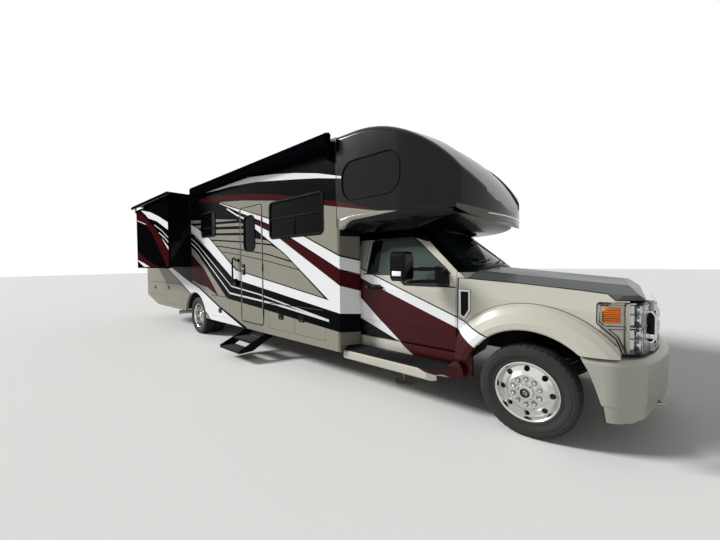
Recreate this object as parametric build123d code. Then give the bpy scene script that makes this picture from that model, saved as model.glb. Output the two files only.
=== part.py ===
"""Motorhome on a heavy pickup chassis, with a sleeping cap over the cab.

X runs forward, Y to the left and Z up from the ground, in millimetres. Every place along
the vehicle is a station measured from the front axle. The finished pieces are moved so
that the origin is the middle of the footprint of the whole vehicle. The house body is a
sandwich-panel box with one slide-out room on each side. The cab is a steel two-door cab
with a separate hood, fenders, grille and bumper. All four levelling jacks are down.
"""

from build123d import *
from functools import cache
from math import hypot
import os

# Chassis and running gear.
TYRE_RADIUS = 406
TYRE_WIDTH = 224
RIM_RADIUS = 262
WHEELBASE = 6650
FRONT_TYRE_Y = 950
REAR_TYRE_YS = (1080, 826)
KINGPIN_Y = 770
AXLE_Z = TYRE_RADIUS
FRAME_HALF = 430
FRAME_FLANGE = 75
FRAME_WEB = 9
FRAME_Z = (600, 800)
FRAME_REAR_X = -9900

# House body: stations, heights and wall thickness.
BODY_FRONT = -2130
BODY_REAR = -10050
HALF_WIDTH = 1257
WALL = 50
SKIRT_Z = 420
REAR_SKIRT_Z = 470
DEPARTURE_X = -9150
DEPARTURE_Z = 690
FLOOR_Z = (950, 1050)
WALL_TOP = 3090
ROOF_EDGE_Z = 3150
ROOF_CROWN_Z = 3270
ARCH_RADIUS = 555
ARCH_TOP = 940

# Sleeping cap over the cab.
CAP_ARC_START = -1850
CAP_NOSE = (-400, 2200)
CAP_CORNER = (-610, 1040)
CAP_LAP = 6
BROW_HALF = 650
CAP_ARC_RADIUS = 1520
CAP_FLOOR_Z = 2120
CAP_LIP_Z = 1995
CAP_SKIN = 40

# Cab, hood and bumper.
CAB_REAR = -2080
CAB_SKIN = 45
DOOR_SKIN = 75
HINGE_X = -662
CAB_SILL_Z = 560
FRONT_ARCH_X = 10
FRONT_ARCH_RADIUS = 560
FRONT_ARCH_Z = 400
FLARE_RADIUS = 790
LAMP_INNER_Y = 620
VENT = ((-634, 1284), (-512, 1282), (-512, 1070), (-570, 975), (-634, 1010))
BUMPER_Z = (325, 450, 808)
SCREEN_FOOT = (-575, 1495)
SCREEN_TOP = (-1165, 1972)
SHEET = 28

# Slide-out rooms: station pair, height pair and the outer face's distance from the middle.
SLIDE_RIGHT = ((-9110, -6790), (1500, 2960), 1707)
SLIDE_LEFT = ((-6000, -3000), (1120, 2900), 1707)
SLIDE_INNER = 1180
SLIDE_WALL = 35
SLIDE_LAP = 22

# Patio awning case, and the slide-out topper's roller.
AWNING_X = (-6430, -2190)
ROLLER_RADIUS = 38
ROLLER_Z = 3062
ROLLER_OUT = 1737

# Doors and windows as (rear x, front x, low z, high z, corner radius).
ENTRY_DOOR = (-4575, -3865, 525, 2535, 60)
ENTRY_WINDOW = (-4430, -4100, 1800, 2370, 90)
BAGGAGE_DOORS = {
    "baggage_door_front_right": (-3020, -2360, 520, 930, 25),
    "baggage_door_step_right": (-3700, -3050, 520, 930, 25),
    "baggage_door_middle_right": (-5830, -5010, 520, 930, 25),
    "baggage_door_rear_right": (-8540, -7330, 560, 1090, 25),
    "baggage_door_tail_right": (-9830, -8620, 740, 1090, 25),
    "baggage_door_front_left": (-5830, -4600, 520, 930, 25),
    "baggage_door_rear_left": (-8540, -7330, 560, 1090, 25),
}
WINDOWS_RIGHT = [(-3620, -2400, 1970, 2500, 60), (-6190, -5550, 2140, 2600, 60)]
WINDOWS_LEFT = [(-2850, -2350, 1900, 2450, 60), (-8900, -7900, 1900, 2450, 60)]
SLIDE_WINDOW = (-5500, -3500, 1700, 2350, 60)
BUNK_WINDOW = (-2030, -1180, 2330, 2800, 180)

# Luggage trays as (side, rear x, front x, low z).
TRAYS = [
    (-1, -3730, -2180, 440), (-1, -5900, -4900, 440), (-1, -8580, -7300, 500), (-1, -9880, -8600, 700),
    (1, -5900, -4500, 440), (1, -8580, -7300, 500),
]

# Origin: the middle of the footprint, given as a station.
REAR_MOST = -10174
FRONT_MOST = 965
ORIGIN_X = (REAR_MOST + FRONT_MOST) / 2


# Helpers that turn flat drawings into solids.
def block(x, y, z):
    """A box from three (low, high) pairs."""
    middle = [(low + high) / 2 for low, high in (x, y, z)]
    return Pos(*middle) * Box(*[high - low for low, high in (x, y, z)])


def side_view(sketch, y0, y1):
    """A drawing of x forward and z up, made solid from y0 to y1."""
    return extrude(Plane.XZ.offset(-y1) * sketch, amount=y1 - y0, dir=(0, -1, 0))


def plan_view(sketch, z0, z1):
    """A drawing of x forward and y left, made solid from z0 to z1."""
    return extrude(Plane.XY.offset(z0) * sketch, amount=z1 - z0, dir=(0, 0, 1))


def front_view(sketch, x0, x1):
    """A drawing of y left and z up, made solid from x0 to x1."""
    return extrude(Plane.YZ.offset(x0) * sketch, amount=x1 - x0, dir=(1, 0, 0))


def outline(*points):
    """A closed polygon through flat points."""
    return Polygon(*points, align=None)


def rounded(x0, x1, z0, z1, radius):
    """A rounded rectangle between two stations and two heights."""
    return Pos((x0 + x1) / 2, (z0 + z1) / 2) * RectangleRounded(x1 - x0, z1 - z0, radius)


def shrunk(opening, gap):
    """An opening's five numbers, drawn in by a gap on every side."""
    x0, x1, z0, z1, radius = opening
    return (x0 + gap, x1 - gap, z0 + gap, z1 - gap, radius)


def mirrored(shape):
    """The same piece on the other side of the vehicle."""
    return mirror(shape, about=Plane.XZ)


def cylinder_y(x, z, radius, y0, y1):
    """A cylinder lying across the vehicle."""
    return side_view(Pos(x, z) * Circle(radius), y0, y1)


def cylinder_x(y, z, radius, x0, x1):
    """A cylinder lying along the vehicle."""
    return front_view(Pos(y, z) * Circle(radius), x0, x1)


def cylinder_z(x, y, radius, z0, z1):
    """An upright cylinder."""
    return plan_view(Pos(x, y) * Circle(radius), z0, z1)


def turned(section, x, y, z):
    """A (radius, outward y) section spun about an axle, outward being away from the middle."""
    spun = revolve(Plane.XY * outline(*section), axis=Axis.Y)
    return Pos(x, y, z) * spun


# Wheels. Sections are (radius, outward distance) and face the right side as positive y.
def tyre():
    """A low, wide truck tyre with straight sidewalls and chamfered shoulders."""
    half = TYRE_WIDTH / 2
    shoulder = TYRE_RADIUS - 22
    bead = RIM_RADIUS - 14
    side = [
        (bead, 84), (RIM_RADIUS + 4, 86), (shoulder - 52, half), (shoulder, half - 6),
        (TYRE_RADIUS, half - 24),
    ]
    return turned([*side, *((radius, -out) for radius, out in reversed(side))], 0, 0, 0)


def wheel(dish):
    """A forged wheel: rim barrel, domed disc with eight hand holes, and a raised nut ring.

    dish is how far the disc's face stands outward of the tyre's middle.
    """
    lip = RIM_RADIUS
    section = [
        (lip - 14, -88), (lip - 14, 88), (lip - 2, 88), (lip, 96), (lip - 8, 99), (lip - 16, 92),
        (lip - 24, 72), (lip - 30, dish - 6), (lip - 46, dish + 2), (176, dish + 16), (158, dish + 30),
        (146, dish + 38), (82, dish + 38), (82, dish - 14), (150, dish - 6), (lip - 50, dish - 26),
        (lip - 34, -60), (lip - 26, -88),
    ]
    disc = turned(section, 0, 0, 0)
    hole = Pos(200, 0, 0) * Rotation(90, 0, 0) * Cylinder(25, 400)
    return disc - [Rotation(0, step * 45, 0) * hole for step in range(8)]


def set_right(shape, x, y):
    """Places a wheel part on the right side, its outward side facing -y."""
    return Pos(x, -y, AXLE_Z) * Rotation(180, 0, 0) * shape


def wheels():
    """Front tyres and wheels, and rear twin tyres and wheels, keyed by node name."""
    cover = [(0, 20), (90, 20), (90, 92), (84, 98), (70, 100), (64, 132), (56, 140), (40, 140), (36, 124),
             (0, 124)]
    front = (wheel(54) + turned(cover, 0, 0, 0)).clean()
    outer = wheel(-78)
    inner = mirrored(wheel(-78))
    made = {
        "tyre_front_right": set_right(tyre(), 0, FRONT_TYRE_Y),
        "wheel_front_right": set_right(front, 0, FRONT_TYRE_Y),
    }
    tyres = [set_right(tyre(), -WHEELBASE, y) for y in REAR_TYRE_YS]
    rims = [
        set_right(outer, -WHEELBASE, REAR_TYRE_YS[0]),
        set_right(inner, -WHEELBASE, REAR_TYRE_YS[1]),
    ]
    hub = [(0, -214), (84, -214), (84, -30), (78, 4), (66, 12), (60, 60), (50, 68), (0, 68)]
    drum = set_right(turned(hub, 0, 0, 0), -WHEELBASE, REAR_TYRE_YS[0])
    made["tyres_rear_right"] = Compound(tyres)
    made["wheels_rear_right"] = (rims[0] + rims[1] + drum).clean()
    for name in list(made):
        made[name.replace("right", "left")] = mirrored(made[name])
    return made


# Chassis.
def chassis_frame():
    """Two channel rails joined by crossmembers, with a rear hitch receiver."""
    low, high = FRAME_Z
    channel = outline(
        (0, low), (FRAME_FLANGE, low), (FRAME_FLANGE, low + FRAME_WEB),
        (FRAME_WEB, low + FRAME_WEB), (FRAME_WEB, high - FRAME_WEB),
        (FRAME_FLANGE, high - FRAME_WEB), (FRAME_FLANGE, high), (0, high),
    )
    rail = front_view(channel, FRAME_REAR_X, 640)
    right = Pos(0, -FRAME_HALF, 0) * rail
    frame = right + mirrored(right)
    for station in (-9860, -8600, -7400, -5900, -4600, -3300, -2200, -700, 600):
        frame += block((station - 30, station + 30), (-FRAME_HALF, FRAME_HALF), (low + 30, high - 60))
    receiver = block((-10120, FRAME_REAR_X + 20), (-38, 38), (low - 30, low + 46))
    receiver -= block((-10130, FRAME_REAR_X - 60), (-26, 26), (low - 18, low + 34))
    beam = block((FRAME_REAR_X, FRAME_REAR_X + 60), (-FRAME_HALF, FRAME_HALF), (low, low + 60))
    return (frame + beam + receiver).clean()


def front_axle():
    """A solid driven axle with coil springs and a track bar."""
    tube = cylinder_y(0, AXLE_Z, 45, -KINGPIN_Y + 62, KINGPIN_Y - 62)
    case = Pos(0, 260, AXLE_Z) * Sphere(135)
    axle = tube + case
    for side in (-1, 1):
        yoke = block((-45, 45), sorted((side * -75, side * 50)), (AXLE_Z - 70, AXLE_Z + 70))
        yoke -= block((-60, 60), sorted((side * -52, side * 70)), (AXLE_Z - 50, AXLE_Z + 50))
        axle += Pos(0, side * KINGPIN_Y, 0) * yoke
        axle += cylinder_z(0, side * 560, 70, AXLE_Z + 20, FRAME_Z[1] - 40)
        axle += block((-60, 60), sorted((side * 431, side * 640)), (FRAME_Z[1] - 60, FRAME_Z[1] - 20))
    return axle.clean()


def steering_knuckle():
    """The right knuckle: a kingpin block between the axle's yoke, with a stub for the hub."""
    post = cylinder_z(0, -KINGPIN_Y, 34, AXLE_Z - 45, AXLE_Z + 45)
    stub = cylinder_y(0, AXLE_Z, 42, -FRONT_TYRE_Y - 10, -KINGPIN_Y)
    disc = cylinder_y(0, AXLE_Z, 180, -KINGPIN_Y - 100, -KINGPIN_Y - 72)
    return (post + stub + disc).clean()


def rear_axle():
    """A drive axle with twin leaf springs and their hangers."""
    x = -WHEELBASE
    axle = cylinder_y(x, AXLE_Z, 60, -690, 690) + Pos(x, 0, AXLE_Z) * Sphere(190)
    axle += cylinder_x(0, AXLE_Z + 40, 45, x, -2100)
    leaf = outline(
        (x - 750, 590), (x - 300, 500), (x + 300, 500), (x + 750, 590),
        (x + 750, 570), (x + 300, 440), (x - 300, 440), (x - 750, 570),
    )
    for side in (-1, 1):
        axle += side_view(leaf, *sorted((side * 520, side * 610)))
        for end in (-720, 720):
            axle += block((x + end - 30, x + end + 30), sorted((side * 434, side * 610)), (560, 700))
    return axle.clean()


def exhaust_pipe():
    """A pipe along the right rail that leaves behind the rear wheels."""
    path = FilletPolyline(
        (-900, -330, 520), (-3300, -330, 520), (-3700, -330, 400), (-5200, -330, 400),
        (-5700, -330, 535), (-7100, -330, 535), (-7500, -480, 380), (-7900, -1150, 350), radius=110,
    )
    pipe = sweep(Plane(origin=path @ 0, z_dir=path % 0) * Circle(45), path=path)
    muffler = cylinder_x(-330, 400, 120, -4900, -3900)
    return pipe + muffler


def leveling_jacks():
    """Four upright hydraulic jacks, their feet on the ground."""
    jacks = []
    for x in (-1520, -8150):
        for y in (-660, 660):
            inner = 470 if y > 0 else -470
            jack = cylinder_z(x, y, 120, 0, 22) + cylinder_z(x, y, 20, 10, 460)
            jack += cylinder_z(x, y, 45, 380, 780)
            jack += block((x - 50, x + 50), sorted((inner * 430 / 470, y)), (640, 760))
            jacks.append(jack.clean())
    return Compound(jacks)


# House body.
def wall_outline():
    """The side wall in side view, with its sloped tail and round wheel arch."""
    flat = outline(
        (BODY_FRONT, SKIRT_Z), (BODY_FRONT, WALL_TOP), (BODY_REAR, WALL_TOP),
        (BODY_REAR, DEPARTURE_Z), (DEPARTURE_X, REAR_SKIRT_Z), (-7185, REAR_SKIRT_Z),
        (-6080, SKIRT_Z),
    )
    return flat - Pos(-WHEELBASE + 20, ARCH_TOP - ARCH_RADIUS) * Circle(ARCH_RADIUS)


def side_wall(side, openings):
    """One side wall with its openings cut. side is -1 on the right and 1 on the left."""
    flat = wall_outline()
    for opening in openings:
        flat -= rounded(*opening)
    low, high = sorted((side * HALF_WIDTH, side * (HALF_WIDTH - WALL)))
    return side_view(flat, low, high)


def slide_opening(slide):
    """The wall opening of a slide-out, as five numbers."""
    (x0, x1), (z0, z1), _ = slide
    return (x0, x1, z0, z1, 4)


def plate_on(side, opening, lap, inner, thickness):
    """A flat plate over an opening, on a face at a distance from the middle."""
    low, high = sorted((side * inner, side * (inner + thickness)))
    return side_view(rounded(*shrunk(opening, -lap)), low, high)


def roof_panel():
    """The crowned one-piece roof."""
    edge = Polyline((-HALF_WIDTH, ROOF_EDGE_Z), (-HALF_WIDTH, WALL_TOP), (HALF_WIDTH, WALL_TOP),
                    (HALF_WIDTH, ROOF_EDGE_Z))
    crown = ThreePointArc((HALF_WIDTH, ROOF_EDGE_Z), (0, ROOF_CROWN_Z), (-HALF_WIDTH, ROOF_EDGE_Z))
    return front_view(make_face(edge + crown), BODY_REAR, BODY_FRONT)


def rear_wall():
    """The rear wall with its window cut."""
    flat = Pos(0, (DEPARTURE_Z + WALL_TOP) / 2) * Rectangle(2 * (HALF_WIDTH - WALL), WALL_TOP - DEPARTURE_Z)
    flat -= Pos(0, 2200) * RectangleRounded(1100, 500, 60)
    return front_view(flat, BODY_REAR, BODY_REAR + WALL)


def basement_tray(side, x0, x1, z0):
    """A luggage tray behind its door, under the deck: floor, inner wall and two ends."""
    inner, outer = 740, HALF_WIDTH - WALL
    tray = block((x0, x1), (inner, outer), (z0, FLOOR_Z[0]))
    tray -= block((x0 + 15, x1 - 15), (inner + 15, outer + 10), (z0 + 15, FLOOR_Z[0] + 10))
    return tray if side > 0 else mirrored(tray)


def house_floor():
    """The floor deck with the stepped entry well cut through it."""
    edge = HALF_WIDTH - WALL
    deck = block((BODY_REAR + WALL, BODY_FRONT), (-edge, edge), FLOOR_Z)
    x0, x1 = ENTRY_DOOR[:2]
    deck -= block((x0, x1), (-edge - 10, -860), (900, 1100))
    well = block((x0 - 15, x1 + 15), (-edge, -845), (520, FLOOR_Z[0]))
    well -= block((x0, x1), (-edge - 10, -1020), (535, 1000))
    well -= block((x0, x1), (-1030, -860), (740, 1000))
    return (deck + well).clean()


def underfloor():
    """Six luggage trays and the two rear wheel housings, each hung under the deck."""
    trays = [basement_tray(side, x0, x1, z0) for side, x0, x1, z0 in TRAYS]
    x, z = -WHEELBASE + 20, ARCH_TOP - ARCH_RADIUS
    span = (620, HALF_WIDTH - WALL)
    housing = cylinder_y(x, z, ARCH_RADIUS, *span) - cylinder_y(x, z, ARCH_RADIUS - 10, *span)
    housing &= block((x - 600, x + 600), span, (500, FLOOR_Z[0]))
    return Compound([*trays, housing, mirrored(housing)])


def front_bulkhead():
    """The panel between house and cab, with a walk-through, and its two angled side fairings."""
    plate = block((BODY_FRONT, BODY_FRONT + 40), (-HALF_WIDTH, HALF_WIDTH), (SKIRT_Z, CAP_FLOOR_Z - 2))
    plate -= block((BODY_FRONT - 10, BODY_FRONT + 50), (-860, 860), (FLOOR_Z[1], 2130))
    plate -= block((BODY_FRONT - 10, BODY_FRONT + 50), (-700, 700), (400, FLOOR_Z[0] - 60))
    fairing = outline((BODY_FRONT + 40, -HALF_WIDTH), (-1957, -1035), (-1957, -1006),
                      (BODY_FRONT + 40, -HALF_WIDTH + 60))
    right = plan_view(fairing, 505, 2000)
    return (plate + right + mirrored(right)).clean()


# Sleeping cap.
@cache
def cap_form(inset, floor_z, edge_radius):
    """The cap's outer form, or the same form drawn in.

    The arched nose line is spun about a far axis below, which gives the crown, then cut by a
    side view for the lip and by a plan that tapers to a bowed front. Its upper edges are rounded.
    """
    nose_x, nose_z = CAP_NOSE
    top, rear, half = ROOF_CROWN_Z + CAP_LAP, BODY_FRONT, HALF_WIDTH
    rise = ROOF_CROWN_Z - ROOF_EDGE_Z
    axis_z = top - (half ** 2 + rise ** 2) / (2 * rise)
    arc = RadiusArc((CAP_ARC_START, top), (nose_x, nose_z), CAP_ARC_RADIUS)
    rest = Polyline((nose_x, nose_z), (-338, 2000), (-338, 1500), (rear, 1500), (rear, top),
                    (CAP_ARC_START, top))
    crown = offset(make_face(arc + rest), amount=-inset) if inset else make_face(arc + rest)
    axis = Axis((0, 0, axis_z), (1, 0, 0))
    hull = revolve((Plane.XZ * crown).rotate(axis, -14), axis=axis, revolution_arc=28)
    lip = outline((-338, 3400), (-338, 2150), (-372, 2090), (-392, 2010), (-440, CAP_LIP_Z), (-560, 2060),
                  (-640, floor_z), (rear, floor_z), (rear, 3400))
    corner_x, corner_y = CAP_CORNER
    bow = ThreePointArc((corner_x, -corner_y), (-385, 0), (corner_x, corner_y))
    flanks = Polyline((corner_x, corner_y), (-1100, half), (rear, half), (rear, -half), (-1100, -half),
                      (corner_x, -corner_y))
    plan = make_face(bow + flanks)
    plan = fillet(plan.vertices().filter_by_position(Axis.X, corner_x - 10, corner_x + 10), 110)
    plan = fillet(plan.vertices().filter_by_position(Axis.X, -1110, -1090), 600)
    if inset:
        lip = offset(lip, amount=-inset)
        plan = offset(plan, amount=-inset)
    form = hull & side_view(lip, -half - 10, half + 10) & plan_view(plan, 1900, 3400)
    edges = [
        edge for edge in form.edges()
        if edge.center().Z > 2300 and edge.center().X > rear + 5 + inset and abs(edge.center().Y) > 560
        and abs(edge.tangent_at(0.5).Z) < 0.999
    ]
    return fillet(edges, edge_radius)


def front_cap():
    """The hollow cap, open to the house behind, with side windows and a recessed brow panel."""
    outer = cap_form(0, CAP_FLOOR_Z, 75)
    inner = cap_form(CAP_SKIN, CAP_FLOOR_Z, 40)
    reach = block((BODY_FRONT - 10, BODY_FRONT + 60), (-HALF_WIDTH + 60, HALF_WIDTH - 60),
                  (CAP_FLOOR_Z + 40, WALL_TOP))
    cap = outer - inner - reach
    brow = (outer - cap_form(18, CAP_FLOOR_Z, 60)) & block((-1300, 0), (-BROW_HALF, BROW_HALF), (2235, 3400))
    window = side_view(rounded(*BUNK_WINDOW), -HALF_WIDTH - 20, HALF_WIDTH + 20)
    return cap - brow - window


def cap_belly():
    """The skirt below the cap that closes round the cab roof, bowed at the front."""
    def ring(wall):
        bow = ThreePointArc((-1120 - wall, -820 + wall), (-840 - wall, 0), (-1120 - wall, 820 - wall))
        rest = Polyline((-1120 - wall, 820 - wall), (-1330, 960 - wall), (BODY_FRONT + 45, 960 - wall),
                        (BODY_FRONT + 45, -960 + wall), (-1330, -960 + wall), (-1120 - wall, -820 + wall))
        return make_face(bow + rest)
    skirt = plan_view(ring(0), 1946, CAP_FLOOR_Z + 10) - plan_view(ring(50), 1900, CAP_FLOOR_Z)
    return skirt - block((BODY_FRONT, BODY_FRONT + 100), (-910, 910), (1900, CAP_FLOOR_Z))


# Fittings on the house.
def fixed_windows():
    """All fixed glass: the house panes, each set in its opening, and the curved windscreen."""
    panes = []
    for side, openings in ((-1, WINDOWS_RIGHT), (1, WINDOWS_LEFT)):
        panes += [plate_on(side, opening, -1, HALF_WIDTH - 20, 12) for opening in openings]
        panes.append(plate_on(side, BUNK_WINDOW, -1, HALF_WIDTH - 20, 12))
    rear = Pos(0, 2200) * RectangleRounded(1098, 498, 59)
    panes.append(front_view(rear, BODY_REAR + 8, BODY_REAR + 20))
    panes.append((windscreen_form(4) - windscreen_form(10)) & windscreen_hole(1))
    return Compound(panes)


def entry_door():
    """The entrance door with its window cut."""
    leaf = plate_on(-1, ENTRY_DOOR, -5, HALF_WIDTH - 45, 45)
    return leaf - side_view(rounded(*ENTRY_WINDOW), -HALF_WIDTH - 10, -HALF_WIDTH + 60)


def baggage_door(name):
    """A flat luggage door."""
    side = -1 if name.endswith("right") else 1
    return plate_on(side, BAGGAGE_DOORS[name], -5, HALF_WIDTH - 25, 25)


def slide_room(slide, window):
    """A slide-out room on the right side: open box, lapping outer wall and topper roller."""
    (x0, x1), (z0, z1), out = slide
    room = block((x0 + 8, x1 - 8), (-out + 10, -SLIDE_INNER), (z0 + 8, z1 - 8))
    hollow = SLIDE_WALL + 8
    room -= block((x0 + hollow, x1 - hollow), (-out + SLIDE_WALL, 0), (z0 + hollow, z1 - hollow))
    face = (x0, x1, z0, z1, 25)
    room += plate_on(-1, face, SLIDE_LAP, out - 27, 27)
    if window:
        room -= side_view(rounded(*window), -out - 10, -out + 60)
    roller = cylinder_x(-ROLLER_OUT, ROLLER_Z, ROLLER_RADIUS, x0 - 250, x1 + 120)
    for x in (x0 + 40, x1 - 70):
        roller += block((x, x + 30), (-ROLLER_OUT - 12, -ROLLER_OUT + 12), (z1 - 60, ROLLER_Z))
        roller += block((x, x + 30), (-ROLLER_OUT - 12, -out), (z1 - 60, z1 - 20))
    return (room + roller).clean()


def topper(slide):
    """The sloping fabric over a slide-out, from the wall's rail to the roller."""
    (x0, x1), _, _ = slide
    top = ROLLER_Z + ROLLER_RADIUS + 1
    cloth = outline((-HALF_WIDTH - 2, top + 18), (-HALF_WIDTH - 2, top + 15), (-ROLLER_OUT, top),
                    (-ROLLER_OUT, top + 3))
    return front_view(cloth, x0 - 200, x1 + 70)


def patio_awning():
    """The closed patio awning: a round-fronted case on two wall brackets."""
    y = -HALF_WIDTH
    case = outline((y - 35, 3035), (y - 60, 3010), (y - 115, 3010), (y - 140, 3045), (y - 140, 3150),
                   (y - 115, 3190), (y - 55, 3205), (y - 35, 3185))
    made = front_view(case, *AWNING_X)
    for x in (AWNING_X[0] + 10, AWNING_X[1] - 60):
        made += block((x, x + 50), (y - 60, y - 2), (2880, 3080))
    return made.clean()


def roof_equipment(roof):
    """Two air-conditioners, three vents and a folded antenna, cut to sit on the roof's crown."""
    pieces = []
    for x, y, length, width, top in (
        (-3900, 0, 820, 700, 3580), (-7700, 0, 820, 700, 3580), (-5600, 0, 400, 400, 3390),
        (-9400, 250, 400, 400, 3390), (-2900, -300, 400, 400, 3390), (-6500, 500, 160, 160, 3400),
        (-8700, -600, 160, 160, 3400),
    ):
        body = block((x - length / 2, x + length / 2), (y - width / 2, y + width / 2), (3150, top))
        body = chamfer(body.edges().filter_by(Axis.X).group_by(Axis.Z)[-1], min(60, width / 5))
        body = chamfer(body.edges().filter_by(Axis.Y).group_by(Axis.Z)[-1], min(90, length / 6))
        pieces.append(body - roof)
    return Compound(pieces)


def rear_ladder():
    """The ladder on the rear wall, up to the roof."""
    rails = []
    for y in (-980, -620):
        foot = ROOF_CROWN_Z + 3 - (ROOF_CROWN_Z - ROOF_EDGE_Z) * (y / HALF_WIDTH) ** 2
        path = FilletPolyline((BODY_REAR - 2, y, 1000), (-10160, y, 1000), (-10160, y, 3330),
                              (-9850, y, 3330), (-9850, y, foot), radius=40)
        rails.append(sweep(Plane(origin=path @ 0, z_dir=path % 0) * Circle(14), path=path))
    ladder = rails[0] + rails[1]
    for z in range(1150, 3300, 300):
        ladder += cylinder_y(-10160, z, 12, -980, -620)
    return ladder


def tail_lamps():
    """Upright lamp clusters and the high centre lamp."""
    lamps = []
    for side in (-1, 1):
        flat = Pos(side * 1130, 1150) * RectangleRounded(130, 420, 30)
        lamps.append(front_view(flat, BODY_REAR - 25, BODY_REAR - 1))
    lamps.append(front_view(Pos(0, 2960) * RectangleRounded(400, 60, 20), BODY_REAR - 25, BODY_REAR - 1))
    return Compound(lamps)


def entry_step():
    """The two-tread step folded out below the entrance door."""
    x0, x1 = -4550, -3900
    step = block((x0, x1), (-1450, -1200), (262, 290)) + block((x0, x1), (-1672, -1440), (150, 178))
    for x in (x0, x1 - 12):
        plate = outline((-1000, 340), (-1000, 405), (-1170, 405), (-1672, 200), (-1672, 150),
                        (-1440, 150), (-1200, 262))
        step += front_view(plate, x, x + 12)
    return (step + block((x0, x1), (-1010, -990), (340, 405))).clean()


# Cab.
def cab_section(inset):
    """Half of the cab's cross-section, drawn in by an inset, as (y, z) points from the sill up."""
    table = (
        (930, CAB_SILL_Z), (984, 640), (996, 820), (1006, 850), (1000, 1240), (978, 1420), (806, 1925),
        (745, 1985), (520, 2022), (0, 2038),
    )
    half = [(y - inset if y else 0, z - (inset if z > 1950 else 0)) for y, z in table]
    return half + [(-y, z) for y, z in reversed(half[:-1])]


def cab_door_outline(gap):
    """The door in side view, drawn in by a gap; its frame leaves room behind to swing."""
    flat = outline((HINGE_X, 622), (HINGE_X, 1470), (-1130, 1880), (-1230, 1918), (-1880, 1918),
                   (-1930, 1860), (-1930, 700), (-1860, 622))
    if gap:
        flat = offset(flat, amount=-gap)
        flat -= Pos(-1930, 1700) * Rectangle(2 * (gap + 9), 560)
    return flat


def cab_window_outline():
    """The door glass in side view, with the belt line stepped down beside the mirror."""
    glass = outline((-745, 1310), (-745, 1440), (-800, 1492), (-1175, 1800), (-1250, 1848), (-1850, 1848),
                    (-1872, 1820), (-1872, 1428), (-1430, 1428), (-1290, 1310))
    return fillet(glass.vertices(), 18)


@cache
def windscreen_form(inset):
    """Everything behind the curved windscreen: a bow swept along the screen's slope."""
    foot_x, foot_z = SCREEN_FOOT
    run, rise = SCREEN_TOP[0] - foot_x, SCREEN_TOP[1] - foot_z
    slope = Plane(origin=(foot_x, 0, foot_z), x_dir=(0, 1, 0), z_dir=(run, 0, rise))
    bow = ThreePointArc((-1100, 105 + inset), (0, inset - 30), (1100, 105 + inset))
    back = Polyline((1100, 105 + inset), (1100, 2600), (-1100, 2600), (-1100, 105 + inset))
    return extrude(slope * make_face(bow + back), amount=1700, both=True)


def windscreen_hole(gap):
    """The screen's trapezoid opening, cut square to the glass, drawn in by a gap."""
    foot_x, foot_z = SCREEN_FOOT
    run, rise = SCREEN_TOP[0] - foot_x, SCREEN_TOP[1] - foot_z
    face = Plane(origin=(foot_x, 0, foot_z), x_dir=(0, 1, 0), z_dir=(rise, 0, -run))
    low, high = 38 + gap, hypot(run, rise) - 30 - gap
    shape = outline((-800 + gap, low), (-640 + gap, high), (640 - gap, high), (800 - gap, low))
    return extrude(face * fillet(shape.vertices(), 60), amount=200, both=True)


def cab_body():
    """The hollow cab with its door openings, windscreen opening, floor and firewall."""
    outer = front_view(outline(*cab_section(0)), CAB_REAR, -560) & windscreen_form(0)
    outer -= block((-655, -500), (-1100, 1100), (400, 1400))
    outer += block((-660, -560), (-900, 900), (CAB_SILL_Z, 1330))
    outer += block((-660, -560), (-844, 844), (1300, 1384))
    hollow = outline(*cab_section(CAB_SKIN)) + Pos(0, 400) * Rectangle(1740, 800)
    inner = front_view(hollow, CAB_REAR - 10, -620) & windscreen_form(CAB_SKIN)
    cab = outer - inner - block((CAB_REAR - 10, -600), (-870, 870), (300, 700))
    cab -= block((-700, -400), (-440, 440), (300, 815))
    door = side_view(cab_door_outline(0), 600, 1100)
    cab = cab - door - mirrored(door) - windscreen_hole(0)
    cab += block((CAB_REAR, -600), (-905, 905), (830, 860))
    return cab.clean()


def door_section():
    """The ring the doors are cut from: thick below the glass, thin in the window frame."""
    outer = cab_section(0)[:7]
    inner = [(y - (DOOR_SKIN if z < 1400 else 32), z) for y, z in outer]
    return outline(*outer, *reversed(inner))


def cab_door():
    """The left cab door with its window frame."""
    leaf = front_view(door_section(), CAB_REAR, -500) & side_view(cab_door_outline(5), 600, 1100)
    return leaf - side_view(cab_window_outline(), 600, 1100)


def cab_door_glass():
    """The left door's glass."""
    points = cab_section(0)[4:8]
    ring = outline(*[(y - 12, z) for y, z in points], *[(y - 18, z) for y, z in reversed(points)])
    return front_view(ring, CAB_REAR, -500) & side_view(offset(cab_window_outline(), amount=-1), 600, 1100)


def door_mirror():
    """The left towing mirror: a tall head on two arms from a base at the door's corner."""
    head = Pos(-1090, 1345, 1522) * Box(168, 210, 305)
    head = fillet(head.edges().filter_by(Axis.X), 62)
    head = fillet(head.edges().group_by(Axis.X)[-1], 34)
    base = plan_view(outline((-745, 985), (-745, 1022), (-860, 1040), (-890, 1030), (-890, 985)), 1332, 1518)
    base -= side_view(outline((-745, 1400), (-745, 1530), (-840, 1530)), 900, 1100)
    arms = [
        plan_view(outline((-800, 1000), (-860, 1000), (-1100, 1250), (-1050, 1262)), z, z + height)
        for z, height in ((1474, 32), (1340, 36))
    ]
    return (head + base + arms[0] + arms[1]).clean()


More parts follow.
